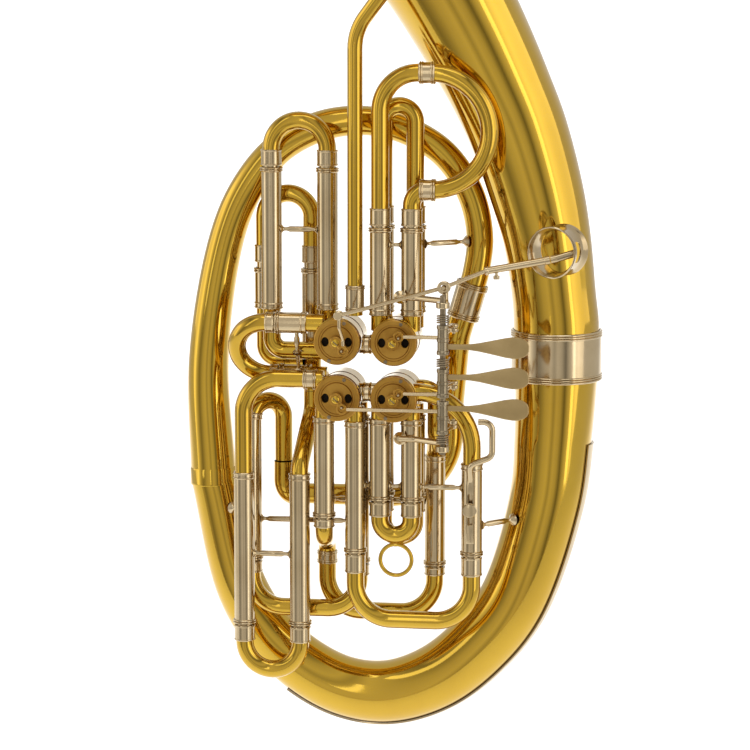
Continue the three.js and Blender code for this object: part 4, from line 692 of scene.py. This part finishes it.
sleeveSet("lowerSleeves", "slide_6_7_8_sleeves", secondSleeves, [
    deckBrace(left, second["brace"]), deckBrace(right, second["brace"]),
    levelBrace(left, right, front, second["brace"]), levelBrace(wideLeft, left, front, second["brace"]),
    levelBrace(right, wideRight, front, second["brace"]),
], bodyBrace(point(wideRight + clear, front, frontWide["stay"]), bowPlaces, bowRadii, "lowerRightStay"))
crookOf("frontWideCrook", "slide_6_crook", "slide_6", uBend(frontWide, front), frontWide)
pullRing = {"radius": 10.9, "wire": 1.4, "x": 9.8, "drop": 11.4}
ringTop = second["bow"] - slideTube["tube"]
deselectAll()
bpy.ops.mesh.primitive_torus_add(
    major_radius=pullRing["radius"] * mm, minor_radius=pullRing["wire"] * mm, major_segments=64,
    minor_segments=16,
    location=point(pullRing["x"], front, ringTop - pullRing["drop"]), rotation=(math.pi / 2, 0, 0))
ringWire = smooth(settle(bpy.context.object), 180)
paint(ringWire, "lacqueredBrass")
ringFoot = turnPiece("ringFoot", [(0, 0), (2.6, 0), (1.6, 1.2), (1.6, 2.4), (0, 2.4)],
                     point(secondAxis[0], front, ringTop + 0.6), -up, "lacqueredBrass", 24)
crookOf("ringCrook", "slide_7_crook", "slide_7", uBend(second, front), second, [ringWire, ringFoot])
crookOf("secondRearCrook", "slide_8_crook", "slide_8", uBend({**second, "bow": second["rearBow"]}, middle),
        second)

# first valve: the long loop and the short slide behind it
firstRear = {"legs": (firstAxis[0] - port, firstAxis[0] + port), "mouth": 359.4, "bow": 440.6, "depth": 22,
             "bend": port, "brace": 347.4, "stay": 346.3, "shown": 60, "stub": 1, "ring": 12}
loop = {**firstRear, "top": 464.4, "low": 385.1, "corner": 73.65, "forward": 3,
        "bend": [26, 39.65, 39.65, port], "bands": ((31, 464.4, 1), (31.5, 385.1, -1)), "bandHeight": 11}
left, right = loop["legs"]
sleeveSet("loopSleeves", "slide_9_10_sleeves", [
    (upright(x, deck, loop["mouth"], firstAxis[1] + short), 0, loop["shown"])
    for deck in (front, middle) for x in (left, right)
], [deckBrace(left, loop["brace"]), deckBrace(right, loop["brace"]),
    levelBrace(left, right, front, loop["brace"])],
    bodyBrace(point(right + clear, middle, loop["stay"]), branchPlaces, branchRadii, "upperStay"))
loopBands = []
for x, z, sign in loop["bands"]:
    y = front - loop["forward"] * (x - left) / (loop["corner"] - left)
    loopBands.append(linedRing(
        "loopFerrule", (slideTube["tube"], slideTube["sleeve"], loop["bandHeight"]), (2, 1.0, 0.6),
        point(x - sign * loop["bandHeight"] / 2, y, z), (sign, 0, 0)))
loopStart, cornerY = loop["mouth"] - loop["depth"], front - loop["forward"]
crookOf("loopCrook", "slide_9_crook", "slide_9", [
    (left, front, loopStart), (left, front, loop["top"]), (loop["corner"], cornerY, loop["top"]),
    (loop["corner"], cornerY, loop["low"]), (right, front, loop["low"]), (right, front, loopStart)],
    loop, loopBands)
crookOf("firstRearCrook", "slide_10_crook", "slide_10", uBend(firstRear, middle), firstRear)
print("slides drawn")

# leadpipe and mouthpiece receiver
lead = {"x": thumbAxis[0] + port, "top": 492, "radius": 5.3, "wall": 0.9, "bend": 34, "hidden": 10,
        "ferrule": 301.3, "course": ((22, -53, 545), (104, -53, 566))}
leadPath = bentPath(corners((lead["x"], front, thumbAxis[1] + short), (lead["x"], front, lead["top"]),
                            *lead["course"]), lead["bend"])
pipe = drawTube("leadpipeTube", cutPath(leadPath, lead["hidden"], pathLength(leadPath)), lead["radius"],
                "lacqueredBrass", 32, lead["wall"])
assign(pipe, "tuba", "leadpipe")
leadDirection = (leadPath[-1] - leadPath[-2]).normalized()
receiver = {"length": 42, "lap": 12, "bore": 4.1}
receiverPiece = turnPiece("receiverTube", [
    (5.6, 0), (6.4, 0), (6.7, 0.5), (6.4, 1.2), (6.1, 1.6), (6.1, 12), (6.4, 14), (6.5, 34), (7.0, 36),
    (7.3, 37.2),
    (7.3, 40.8), (7.0, receiver["length"]), (receiver["bore"], receiver["length"]), (3.8, 12.3),
    (5.6, 12.3)],
    leadPath[-1] - leadDirection * receiver["lap"] * mm, leadDirection, "nickelSilver", 48, 30)
assign(receiverPiece, "tuba", "mouthpiece_receiver")
pipeFerrule = linedRing("leadpipeFerrule", (5.65, 6.3, 18), (2, 1.0, 0.6),
                        point(lead["x"], front, lead["ferrule"]), up)
assign(pipeFerrule, "tuba", "leadpipe_ferrule")

# valves: the places along -Y at which each part of a valve begins
valve = {"front": -50.5, "drum": -49.9, "plateFront": -54.7, "plateBack": -50.8, "spindle": -57.3,
         "arm": -58.4, "armFront": -59.7, "ball": 6.8, "sightHole": 7.998, "screws": (68, 248)}
pinAngles = {"thumb": -45, "first": 45, "second": 45, "third": -45}
axes = {"thumb": thumbAxis, "first": firstAxis, "second": secondAxis, "third": thirdAxis}


def rodPieces(places, radius, name, finish="nickelSilver", sides=16, bend=2):
    return drawTube(name, bentPath(places, bend, 10), radius, finish, sides, caps=True)


def boxPiece(name, size, finish="nickelSilver", bevel=0.3):  # a bevelled block at the origin
    deselectAll()
    bpy.ops.mesh.primitive_cube_add(size=1, location=(0, 0, 0))
    piece = bpy.context.object
    piece.name = name
    piece.scale = [v * mm for v in size]
    bpy.ops.object.transform_apply(location=False, rotation=False, scale=True)
    bpy.ops.object.mode_set(mode="EDIT")
    bpy.ops.mesh.select_all(action="SELECT")
    bpy.ops.mesh.bevel(offset=bevel * mm, segments=2, affect="EDGES")
    bpy.ops.object.mode_set(mode="OBJECT")
    smooth(piece, 35)
    return paint(piece, finish)


def placeBox(piece, centre, turn=0.0):  # set down with a turn, in radians, about the axis to the rear
    piece.matrix_world = Matrix.Translation(centre) @ Matrix.Rotation(turn, 4, "Y")
    return settle(piece)


def plateWithHoles(name, x, z):  # satin cap: turned groove, two dark sight holes and two small screws
    centre = point(x, valve["plateFront"], z)
    cap = turnPiece(name + "Cap", [
        (3.75, 0), (4.9, 0), (4.9, 0.5), (10.6, 0.5), (10.9, 0.15), (11.2, 0.95), (12.3, 0.95), (12.6, 0.1),
        (15.2, 0.1), (15.8, 0.6), (15.8, 3.9), (3.75, 3.9)], centre, toRear, "satinGold", 72, 28)
    deselectAll()
    bpy.ops.mesh.primitive_cylinder_add(vertices=24, radius=1, depth=12 * mm, location=(0, 0, 0),
                                        rotation=(math.pi / 2, 0, 0))
    cutter = bpy.context.object
    cutter.scale = (2.6 * mm, 3.3 * mm, 1)
    for offset in (-valve["sightHole"], valve["sightHole"]):
        cutter.location = point(x + offset, valve["plateFront"] + 2, z)
        bpy.context.view_layer.update()
        cutAway(cap, cutter, "sightHole")
    bpy.data.objects.remove(cutter)
    smooth(cap, 28)
    pieces = [paint(cap, "satinGold"),
              turnPiece(name + "Shadow", disc(3.8, 14, 0.2), point(x, valve["plateBack"] + 0.05, z), toRear,
                        "valveShadow", 32)]
    for degrees in valve["screws"]:
        turn = math.radians(degrees)
        place = centre + Vector((math.cos(turn), 0, math.sin(turn))) * 14 * mm
        pieces.append(turnPiece(name + "Screw",
                                [(0, -0.7), (0.9, -0.7), (1.3, -0.35), (1.3, 0.6), (0, 0.6)], place,
                                toRear, "blackenedSteel", 16))
    return joinPieces(pieces, name)


for name, (x, z) in axes.items():
    casing = turnPiece(name + "Casing", [
        (13.4, 0), (15.9, 0), (16.2, 0.4), (16.2, 2.4), (15.9, 2.8), (15.5, 3), (15.5, 36), (15.0, 36.5),
        (3.8, 36.5), (3.8, 34.1), (13.4, 34.1)],
        point(x, valve["front"], z), toRear, "lacqueredBrass", 64, 30)
    collar = turnPiece(name + "Collar", [(15.55, 17.2), (15.8, 17.5), (15.8, 18.7), (15.55, 19)],
                       point(x, valve["front"], z), toRear, "nickelSilver", 64, 30)
    assign(joinPieces([casing, collar], name + "Casing"), "tuba", f"{name}_valve_casing")
    assign(plateWithHoles(name + "Plate", x, z), "tuba", f"{name}_valve_plate")
    turn = math.radians(pinAngles[name])
    pinX, pinZ = x + valve["ball"] * math.cos(turn), z + valve["ball"] * math.sin(turn)
    slot = boxPiece(name + "Slot", (4.4, 0.4, 0.7), "blackenedSteel", 0.05)
    arm = [
        turnPiece(name + "Drum", disc(0, 13, 32), point(x, valve["drum"], z), toRear, "lacqueredBrass", 48),
        turnPiece(name + "Spindle", [(0, 0), (3.2, 0), (3.4, 0.3), (3.4, 8), (0, 8)],
                  point(x, valve["spindle"], z), toRear, "blackenedSteel", 24),
        turnPiece(name + "Hub", [(0, 0), (3.9, 0), (4.4, 0.5), (4.4, 2.3), (4.1, 2.6), (0, 2.6)],
                  point(x, valve["armFront"], z), toRear, "satinGold", 32),
        rodPieces([point(x, valve["arm"], z), point(pinX, valve["arm"], pinZ)], 2.0, name + "Arm",
                  "satinGold"),
        turnPiece(name + "Ball", disc(0, 2.2, 2.6, 0.6, 0.5), point(pinX, valve["armFront"], pinZ), toRear,
                  "satinGold", 24),
        turnPiece(name + "Pin", [(0, 0), (0.7, 0), (1.0, 0.4), (1.0, 5.4), (0, 5.4)],
                  point(pinX, valve["armFront"] - 5.2, pinZ), toRear, "nickelSilver", 16),
        turnPiece(name + "Screw", [(0, 0), (1.6, 0.1), (2.5, 0.5), (2.8, 1.0), (2.8, 1.5), (0, 1.5)],
                  point(x, valve["armFront"] - 1.3, z), toRear, "bellBrass", 32, 60),
        placeBox(slot, point(x, valve["armFront"] - 1.25, z), 0.7),
    ]
    assign(joinPieces(arm, name + "Rotor"), name + "_rotor", f"{name}_valve_rotor")

# short tubes between neighbouring valves, their ends cut round the casings
linkProfile = [(5.6, 0), (6.2, 0), (6.2, 15.4), (6.7, 15.7), (6.9, 16.3), (6.7, 16.9), (6.4, 17.2),
               (6.4, 19.8), (6.7, 20.1), (6.9, 20.7), (6.7, 21.3), (6.2, 21.6), (6.2, 37), (5.6, 37)]
for level, start, end, z in (("upper", thumbAxis, firstAxis, 278.5),
                             ("lower", thirdAxis, secondAxis, 245.5)):
    tube = turnPiece(level + "Link", linkProfile, point(start[0] + 1, front, z), (1, 0, 0), "nickelSilver",
                     48, 30)
    for x in (start[0], end[0]):
        cutter = turnPiece("casingRoom", disc(0, 16.4, 40), point(x, valve["front"] - 2, start[1]), toRear,
                           "nickelSilver", 64, 30)
        cutAway(tube, cutter, "casingRoom")
        bpy.data.objects.remove(cutter)
    smooth(tube, 30)
    assign(paint(tube, "nickelSilver"), "tuba", level + "_valve_link")
print("valves drawn")

# finger levers, rods and their eyes
lever = {"x": 47.1, "y": -85, "crank": 22.2, "rest": 12.5, "arm": 3, "pinReach": 2.4, "eyeY": -63.1,
         "eyeFront": -64.4}
rest = math.radians(lever["rest"])
crankX = lever["x"] + lever["crank"] * math.sin(rest)
crankY = lever["y"] + lever["crank"] * math.cos(rest)
levers = {
    "first": {"crank": 292.7, "paddle": 284.5, "low": 279, "high": 299, "rod": 287.3},
    "second": {"crank": 253.7, "paddle": 264, "low": 250, "high": 269.5, "rod": 248.3},
    "third": {"crank": 229.6, "paddle": 242.7, "low": 225, "high": 247.5, "rod": 236.7},
}
paddle = {"thick": 1.8, "round": 0.55, "upper": [
    (3.0, 1.9), (12, 1.8), (18, 2.0), (24, 2.8), (30, 4.0), (36, 5.3), (42, 6.6), (47, 7.3), (51, 7.2),
    (54.6, 6.0), (56.9, 4.2), (57.9, 2.0)]}
paddleOutline = paddle["upper"] + [(x, -z) for x, z in reversed(paddle["upper"])]
ballEye = disc(2.4, 3.7, 2.6, 0.4, 0.4)


def paddlePiece(name, x, y, z):  # flat blank, thickened and rounded on its edges
    blank = startMesh(name, [(px * mm, 0, pz * mm) for px, pz in paddleOutline], [],
                      [range(len(paddleOutline))])
    bpy.ops.mesh.extrude_region_move(TRANSFORM_OT_translate={"value": (0, paddle["thick"] * mm, 0)})
    bpy.ops.mesh.select_all(action="SELECT")
    bpy.ops.mesh.normals_make_consistent(inside=False)
    bpy.ops.mesh.bevel(offset=paddle["round"] * mm, segments=3, affect="EDGES")
    bpy.ops.object.mode_set(mode="OBJECT")
    blank.location = point(x, y - paddle["thick"] / 2, z)
    settle(blank)
    smooth(blank, 50)
    return paint(blank, "satinLever")


for name, size in levers.items():
    x, y = lever["x"], lever["y"]
    height = size["high"] - size["low"]
    halfHub = [(2.45, 0), (3.9, 0), (4.1, 0.4), (4.1, 2.2), (3.6, 2.8), (3.6, height / 2 - 1.4),
               (4.1, height / 2 - 1)]
    hub = turnPiece(name + "Hub", halfHub + [(r, height - h) for r, h in reversed(halfHub)],
                    point(x, y, size["low"]), up, "agedNickel", 32, 30)
    sideSign = 1 if size["crank"] > size["rod"] else -1
    armZ = size["crank"] + sideSign * lever["arm"]
    pinEnds = sorted((armZ, size["crank"] - sideSign * lever["pinReach"]))
    pieces = [
        hub, paddlePiece(name + "Paddle", x, y, size["paddle"]),
        rodPieces([point(x + 0.8, y + 3.5, armZ), point(crankX, crankY, armZ)], 1.3, name + "Crank"),
        turnPiece(name + "CrankEnd", disc(0, 3, 2.4, 0.3, 0.4), point(crankX, crankY, armZ - 1.2), up,
                  "nickelSilver", 24),
        turnPiece(name + "CrankPin", disc(0, 1.1, pinEnds[1] - pinEnds[0]),
                  point(crankX, crankY, pinEnds[0]), up, "nickelSilver", 16),
    ]
    assign(joinPieces(pieces, name + "Lever"), name + "_lever", name + "_lever")
    ballX = axes[name][0] + valve["ball"] * math.sqrt(0.5)
    link = [
        turnPiece(name + "CrankEye", disc(1.6, 3, 2.4, 0.3, 0.4),
                  point(crankX, crankY, size["crank"] - 1.2), up,
                  "nickelSilver", 24),
        rodPieces([point(crankX - 2.4, crankY, size["crank"]),
                   point(crankX - 9, lever["eyeY"], size["rod"]),
                   point(ballX + 3.1, lever["eyeY"], size["rod"])], 1.35, name + "Wire", bend=5),
        turnPiece(name + "BallEye", ballEye, point(ballX, lever["eyeFront"], size["rod"]), toRear,
                  "satinGold", 32),
    ]
    assign(joinPieces(link, name + "Rod"), name + "_rod", name + "_rod")

# lever axle, the two brackets that hold it, and the springs on it
axle = {"low": 211, "length": 108, "radius": 2}
axlePiece = turnPiece("leverAxle", disc(0, axle["radius"], axle["length"], 0.4, 0.4),
                      point(lever["x"], lever["y"], axle["low"]), up, "blackenedSteel", 24)
assign(axlePiece, "tuba", "lever_axle")
pivot = {"x": 46.5, "z": 323, "post": -66, "y": -75, "low": 312.5, "high": 325}
bracket = {"upper": 310.5, "lower": 213, "height": 4, "arm": 2.1, "kneeX": 24, "footX": 13.2, "stand": 2.5}


def bracketPieces(name):
    x, y, z = lever["x"], lever["y"], bracket[name]
    armZ = z + bracket["height"] / 2
    backY = front - slideTube["sleeve"] - bracket["stand"]
    return [
        turnPiece(name + "Eye", disc(2.45, 4.6, bracket["height"], 0.4, 0.5), point(x, y, z), up,
                  "nickelSilver", 32, 30),
        rodPieces([point(x, y + 3.8, armZ), point(x, pivot["post"], armZ),
                   point(bracket["kneeX"], backY, armZ),
                   point(bracket["footX"], backY, armZ)], bracket["arm"], name + "Arm", bend=6.6),
        turnPiece(name + "Foot", [(0, 0), (4.2, 0), (4.6, 0.5), (3.2, 1.6), (2.0, 3), (0, 3)],
                  point(bracket["footX"] + 0.4, backY + bracket["arm"], armZ), toPlayer, "nickelSilver",
                  24),
    ]


upper = bracketPieces("upper") + [
    rodPieces([point(pivot["x"], pivot["post"], pivot[end]) for end in ("low", "high")], bracket["arm"],
              "pivotPost"),
    turnPiece("pivotPin", [(0, 0), (1.6, 0), (1.6, 12.2), (1.2, 13), (0, 13)],
              point(pivot["x"], pivot["post"], pivot["z"]), toPlayer, "nickelSilver", 20),
]
assign(joinPieces(upper, "upperBracket"), "tuba", "upper_bracket")
assign(joinPieces(bracketPieces("lower"), "lowerBracket"), "tuba", "lower_bracket")
coil = {"radius": 3.9, "wire": 0.45, "pitch": 1.45, "curls": 4, "steps": 24, "leg": 7, "gap": 1.05}
starts = {"first": levers["first"]["high"] + coil["gap"], "second": levers["second"]["high"] + coil["gap"],
          "third": levers["third"]["low"] - coil["gap"] - coil["curls"] * coil["pitch"]}
for name, z in starts.items():
    path = []
    for k in range(coil["curls"] * coil["steps"] + 1):
        angle = 2 * math.pi * k / coil["steps"]
        path.append(point(lever["x"] + coil["radius"] * math.cos(angle),
                          lever["y"] + coil["radius"] * math.sin(angle),
                          z + coil["pitch"] * k / coil["steps"]))
    path.insert(0, path[0] + toPlayer * coil["leg"] * mm)
    path.append(path[-1] + toRear * coil["leg"] * mm)
    spring = drawTube(name + "SpringWire", path, coil["wire"], "springSteel", 12, caps=True)
    assign(spring, "tuba", name + "_spring")
print("linkage drawn")

# thumb lever, its link and the thumb saddle
ballReach = valve["ball"] * math.sqrt(0.5)
thumb = {"endX": -25.3, "endZ": 302.5, "kneeX": 74, "kneeZ": 334.5, "tipX": 118, "tipZ": 343,
         "linkY": -70.2,
         "eyeX": thumbAxis[0] + ballReach + 1, "eyeZ": thumbAxis[1] - ballReach, "rod": 1.4, "wire": 1.25}
knee = point(thumb["kneeX"], pivot["y"], thumb["kneeZ"])
tip = point(thumb["tipX"], pivot["y"], thumb["tipZ"])
barDirection = (tip - knee).normalized()
thumbPieces = [
    rodPieces([point(thumb["endX"] + 2, pivot["y"], thumb["endZ"] + 0.6),
               point(pivot["x"] - 3, pivot["y"], pivot["z"] - 0.9)], thumb["rod"], "thumbRodLeft"),
    rodPieces([point(pivot["x"] + 3, pivot["y"], pivot["z"] + 1.2), knee], thumb["rod"], "thumbRodRight"),
    turnPiece("thumbRing", disc(2.2, 4.4, 4, 0.4, 0.4), point(pivot["x"], pivot["y"] - 2, pivot["z"]),
              toRear, "nickelSilver", 32),
    turnPiece("thumbBar", [(0, 0), (2.2, 0), (2.8, 0.6), (2.8, 2.4), (2.5, 2.8), (2.5, 41), (2.8, 41.4),
                           (2.8, 44.6), (0, 44.8)], knee, barDirection, "nickelSilver", 32, 30),
    turnPiece("thumbEnd", disc(0, 3, 2.8, 0.4, 0.4), point(thumb["endX"], pivot["y"] - 1.4, thumb["endZ"]),
              toRear, "nickelSilver", 24),
    turnPiece("thumbEndPin", [(0, 0), (1.1, 0), (1.1, 6.6), (0.8, 7), (0, 7)],
              point(thumb["endX"], pivot["y"], thumb["endZ"]), toRear, "nickelSilver", 16),
    turnPiece("thumbSetScrew", [(0, 0), (1.0, 0), (1.0, 2.2), (2.1, 2.4), (2.1, 4.4), (1.8, 4.8), (0, 4.8)],
              knee + barDirection * 8 * mm - up * 2 * mm, -up, "nickelSilver", 20),
]
assign(joinPieces(thumbPieces, "thumbLever"), "thumb_lever", "thumb_lever")
linkPieces = [
    turnPiece("linkEye", disc(1.6, 3, 2.4, 0.4, 0.4),
              point(thumb["endX"], thumb["linkY"] - 1.2, thumb["endZ"]),
              toRear, "nickelSilver", 24),
    rodPieces([point(thumb["endX"], thumb["linkY"], thumb["endZ"] - 2.4),
               point(thumb["endX"], thumb["linkY"], thumb["endZ"] - 9),
               point(thumb["eyeX"], lever["eyeY"], thumb["eyeZ"] + 7.4),
               point(thumb["eyeX"], lever["eyeY"], thumb["eyeZ"] + 3.1)], thumb["wire"], "linkWire",
              bend=3),
    turnPiece("linkBallEye", ballEye, point(thumb["eyeX"], lever["eyeFront"], thumb["eyeZ"]), toRear,
              "satinGold", 32),
]
assign(joinPieces(linkPieces, "thumbLink"), "thumb_link", "thumb_link")
saddle = {"x": 121.8, "y": -62, "z": 347.3, "turn": math.radians(20), "width": 22, "window": (14, 6.4, 14),
          "windowReach": 16, "neck": (5, 14.6), "neckRadius": 2.6}
saddleAxis = Vector((-math.sin(saddle["turn"]), -math.cos(saddle["turn"]), 0))
saddleRight = Vector((math.cos(saddle["turn"]), -math.sin(saddle["turn"]), 0))
saddleCentre = point(saddle["x"], saddle["y"], saddle["z"])
band = turnPiece("saddleBand", [
    (16.5, 0.2), (17.0, 0), (17.5, 0.4), (17.4, 1.1), (16.6, 2.6), (15.9, 4.2), (15.55, 6.4), (15.5, 8.6),
    (15.5, 13.4), (15.55, 15.6), (15.9, 17.8), (16.6, 19.4), (17.4, 20.9), (17.5, 21.6), (17.0, 22),
    (16.5, 21.8), (15.4, 19), (14.6, 16.4), (14.4, 14), (14.4, 8), (14.6, 5.6), (15.4, 3)],
    saddleCentre - saddleAxis * saddle["width"] / 2 * mm, saddleAxis, "nickelSilver", 96, 30)
slotCutter = boxPiece("slotCutter", saddle["window"], bevel=1.2)
slotCutter.rotation_euler = (0, 0, -saddle["turn"])
slotCutter.location = saddleCentre + saddleRight * saddle["windowReach"] * mm
cutAway(band, slotCutter, "window")
bpy.data.objects.remove(slotCutter)
smooth(band, 30)
paint(band, "nickelSilver")
neckEnd = saddleCentre + saddleAxis * saddle["neck"][0] * mm + saddleRight * saddle["neck"][1] * mm
neckPiece = rodPieces([tip + barDirection * 0.35 * mm, tip + barDirection * 4 * mm, neckEnd],
                      saddle["neckRadius"], "saddleNeck", sides=24)
assign(joinPieces([band, neckPiece], "thumbSaddle"), "thumb_lever", "thumb_saddle")

# finger hook and its screw
hook = {"x": 62.3, "back": front - 8.3, "thick": 3, "width": 6, "length": 50, "z": 168, "screw": 167,
        "wire": 2.1, "slot": (3.8, 9, 22), "reach": 15.6, "forward": 6, "bend": 6}
hookY = hook["back"] - hook["thick"] / 2
bar = placeBox(boxPiece("hookBar", (hook["width"], hook["thick"], hook["length"]), bevel=0.8),
               point(hook["x"], hookY, hook["z"]))
slotCutter = placeBox(boxPiece("hookSlot", hook["slot"], bevel=1), point(hook["x"], hookY, hook["screw"]))
cutAway(bar, slotCutter, "window")
bpy.data.objects.remove(slotCutter)
smooth(bar, 35)
paint(bar, "nickelSilver")
bowY, farX = hookY - hook["forward"], hook["x"] + hook["reach"]
hookPath = bentPath(corners((hook["x"], hookY, 187), (hook["x"], bowY, 199), (farX, bowY, 205),
                            (farX, bowY, 229), (hook["x"] + 6, bowY, 229)), hook["bend"])
hookWire = drawTube("hookWire", hookPath, hook["wire"], "nickelSilver", 20, caps=True)
assign(joinPieces([bar, hookWire], "fingerHook"), "finger_hook", "finger_hook")
knurl = [(0, 0), (4.4, 0), (4.9, 0.4), (4.9, 1.0), (4.6, 1.2), (4.6, 1.6), (4.9, 1.8), (4.9, 2.4),
         (4.6, 2.6), (4.6, 3.0), (4.9, 3.2), (4.6, 3.7), (3.4, 4.0), (0, 4.0)]
screwHead = turnPiece("hookScrewHead", knurl,
                      point(hook["x"], hook["back"] - hook["thick"] - 0.3, hook["screw"]),
                      toPlayer, "nickelSilver", 40, 30)
screwShaft = turnPiece("hookScrewShaft", disc(0, 1.4, 4),
                       point(hook["x"], hook["back"] + 0.4, hook["screw"]),
                       toPlayer, "nickelSilver", 16)
assign(joinPieces([screwHead, screwShaft], "hookScrew"), "hook_screw", "hook_screw")

# bow guard: a thin strip bent round the outside of the lower bow
guard = {"first": 2, "last": 9, "halfAngle": 24, "gap": 0.35, "thickness": 1.1, "steps": 12}
guardRows = range(guard["first"] * bowSteps, guard["last"] * bowSteps + 1)
stripPlaces, faces = [], []
row = 2 * (guard["steps"] + 1)
for i in guardRows:
    along = (bowPath[i + 1] - bowPath[i - 1]).normalized()
    outward = Vector((along.z, 0, -along.x))
    if outward.dot(bowPath[i] - point(oval["x"], 0, oval["z"])) < 0:
        outward = -outward
    for radius in (bowAlong[i] + guard["gap"], bowAlong[i] + guard["gap"] + guard["thickness"]):
        for k in range(guard["steps"] + 1):
            angle = math.radians(guard["halfAngle"] * (2 * k / guard["steps"] - 1))
            offset = outward * math.cos(angle) + toRear * math.sin(angle)
            stripPlaces.append(bowPath[i] + offset * radius * mm)
ring = list(range(guard["steps"] + 1)) + list(range(row - 1, guard["steps"], -1))
for base in range(0, (len(guardRows) - 1) * row, row):
    for k in range(row):
        a, b = ring[k], ring[(k + 1) % row]
        faces.append((base + a, base + b, base + row + b, base + row + a))
for base in (0, (len(guardRows) - 1) * row):
    for k in range(base, base + guard["steps"]):
        faces.append((k, k + 1, k + guard["steps"] + 2, k + guard["steps"] + 1))
strip = startMesh("bowGuard", stripPlaces, [], faces)
bpy.ops.mesh.normals_make_consistent(inside=False)
bpy.ops.object.mode_set(mode="OBJECT")
smooth(strip, 30)
assign(paint(strip, "nickelSilver"), "tuba", "bow_guard")

# stage, light and camera
stage = {"size": 40, "drop": 0.26, "floorY": 19.3, "wallY": 6, "wallRise": 5}
floorLevel = cadBox[0][2] - stage["drop"]
deselectAll()
bpy.ops.mesh.primitive_plane_add(size=stage["size"], location=(0, stage["floorY"], floorLevel))
floor = bpy.context.object
floor.name = "floor"
bpy.ops.mesh.primitive_plane_add(size=stage["size"],
                                 location=(0, stage["wallY"], floorLevel + stage["wallRise"]),
                                 rotation=(math.pi / 2, 0, 0))
wall = bpy.context.object
wall.name = "backdrop"


def makeGlowingPaper(sheet, middle, reach):  # the sheet glows with painted light: white where the camera looks, falling off to grey further out
    paper = bpy.data.materials.new(sheet.name + "Paper")
    paper.use_nodes = True
    tree = paper.node_tree
    shader = tree.nodes["Principled BSDF"]
    setSockets(shader, {"Base Color": (0.6, 0.6, 0.6, 1), "Roughness": 0.9, "Emission Strength": 1})
    coordinates = addNode(tree, "TexCoord")
    spread = addNode(tree, "Mapping", {"Scale": (1 / reach[0], 1 / reach[1], 1),
                                       "Location": (-middle[0] / reach[0], -middle[1] / reach[1], 0)})
    distance = addNode(tree, "VectorMath")
    distance.operation = "LENGTH"
    # painted pool of light: the emitted light fades from 0.85 near the middle to 0.22 further out
    glow = addNode(tree, "MapRange", {"From Min": 0.85, "From Max": 1.3, "To Min": 0.85, "To Max": 0.22})
    glow.interpolation_type = "SMOOTHSTEP"
    connect(tree, (coordinates, "Object", spread, "Vector"), (spread, "Vector", distance, 0),
            (distance, "Value", glow, "Value"), (glow, "Result", shader, "Emission Color"))
    sheet.data.materials.append(paper)


makeGlowingPaper(floor, (-0.5, -15.8), (2.2, 3.8))
makeGlowingPaper(wall, (-0.85, -4.85), (1.8, 1.2))


def softBox(name, place, target, width, height, power):
    deselectAll()
    bpy.ops.object.light_add(type="AREA", location=place)
    lamp = bpy.context.object
    lamp.name = name
    lamp.data.shape = "RECTANGLE"
    lamp.data.size = width
    lamp.data.size_y = height
    lamp.data.energy = power
    lamp.rotation_euler = (Vector(target) - Vector(place)).to_track_quat("-Z", "Y").to_euler()


middleOfView = (-0.0106, 0, 0.2507)
softBox("keyLight", (-1.5, -1.6, 1.3), middleOfView, 0.4, 2.4, 3)
softBox("fillLight", (1.7, -1.3, 0.6), middleOfView, 0.3, 2.4, 2.5)
softBox("topLight", (0.1, -0.4, 2.2), middleOfView, 1.6, 0.7, 4)
softBox("frontStrip", (-0.35, -2.6, 0.9), middleOfView, 0.16, 1.6, 0.8)

# the studio round about: bands of light and dark from left to right, which the metal mirrors
studio = {"strength": 1.3, "green": 0.96, "blue": 0.9, "stops": [
    (0.0, 0.9), (0.03, 1.3), (0.06, 0.7), (0.1, 0.4), (0.17, 0.2), (0.3, 0.45), (0.42, 0.55), (0.5, 0.34),
    (0.57, 0.52), (0.66, 0.42), (0.74, 0.14), (0.79, 0.4), (0.87, 0.7), (0.94, 1.3), (1.0, 0.95)]}
world = bpy.data.worlds.new("studio")
bpy.context.scene.world = world
world.use_nodes = True
sky = world.node_tree
background = sky.nodes["Background"]
setSockets(background, {"Strength": studio["strength"]})
place = addNode(sky, "TexCoord")
split = addNode(sky, "SeparateXYZ")
toShare = addNode(sky, "MapRange", {"From Min": -1, "From Max": 1})
ramp = addNode(sky, "ValToRGB")
connect(sky, (place, "Generated", split, "Vector"), (split, "X", toShare, "Value"),
        (toShare, "Result", ramp, "Fac"), (ramp, "Color", background, "Color"))
bands = ramp.color_ramp.elements
bands[0].position = 0
bands[1].position = 1
for share, grey in studio["stops"][1:-1]:
    bands.new(share)
for element, (share, grey) in zip(bands, studio["stops"]):
    element.position = share
    element.color = (grey, grey * studio["green"], grey * studio["blue"], 1)

view = {"azimuth": 8, "elevation": 9, "distance": 2.2, "lens": 151, "sensor": 36}
turn, rise = math.radians(view["azimuth"]), math.radians(view["elevation"])
away = Vector((math.sin(turn) * math.cos(rise), -math.cos(turn) * math.cos(rise), math.sin(rise)))
deselectAll()
bpy.ops.object.camera_add(location=Vector(middleOfView) + away * view["distance"])
camera = bpy.context.object
camera.rotation_euler = (-away).to_track_quat("-Z", "Y").to_euler()
camera.data.lens = view["lens"]
camera.data.sensor_width = view["sensor"]
bpy.context.scene.camera = camera
bpy.context.scene.view_settings.view_transform = "Standard"
deselectAll()

print("scene ready")
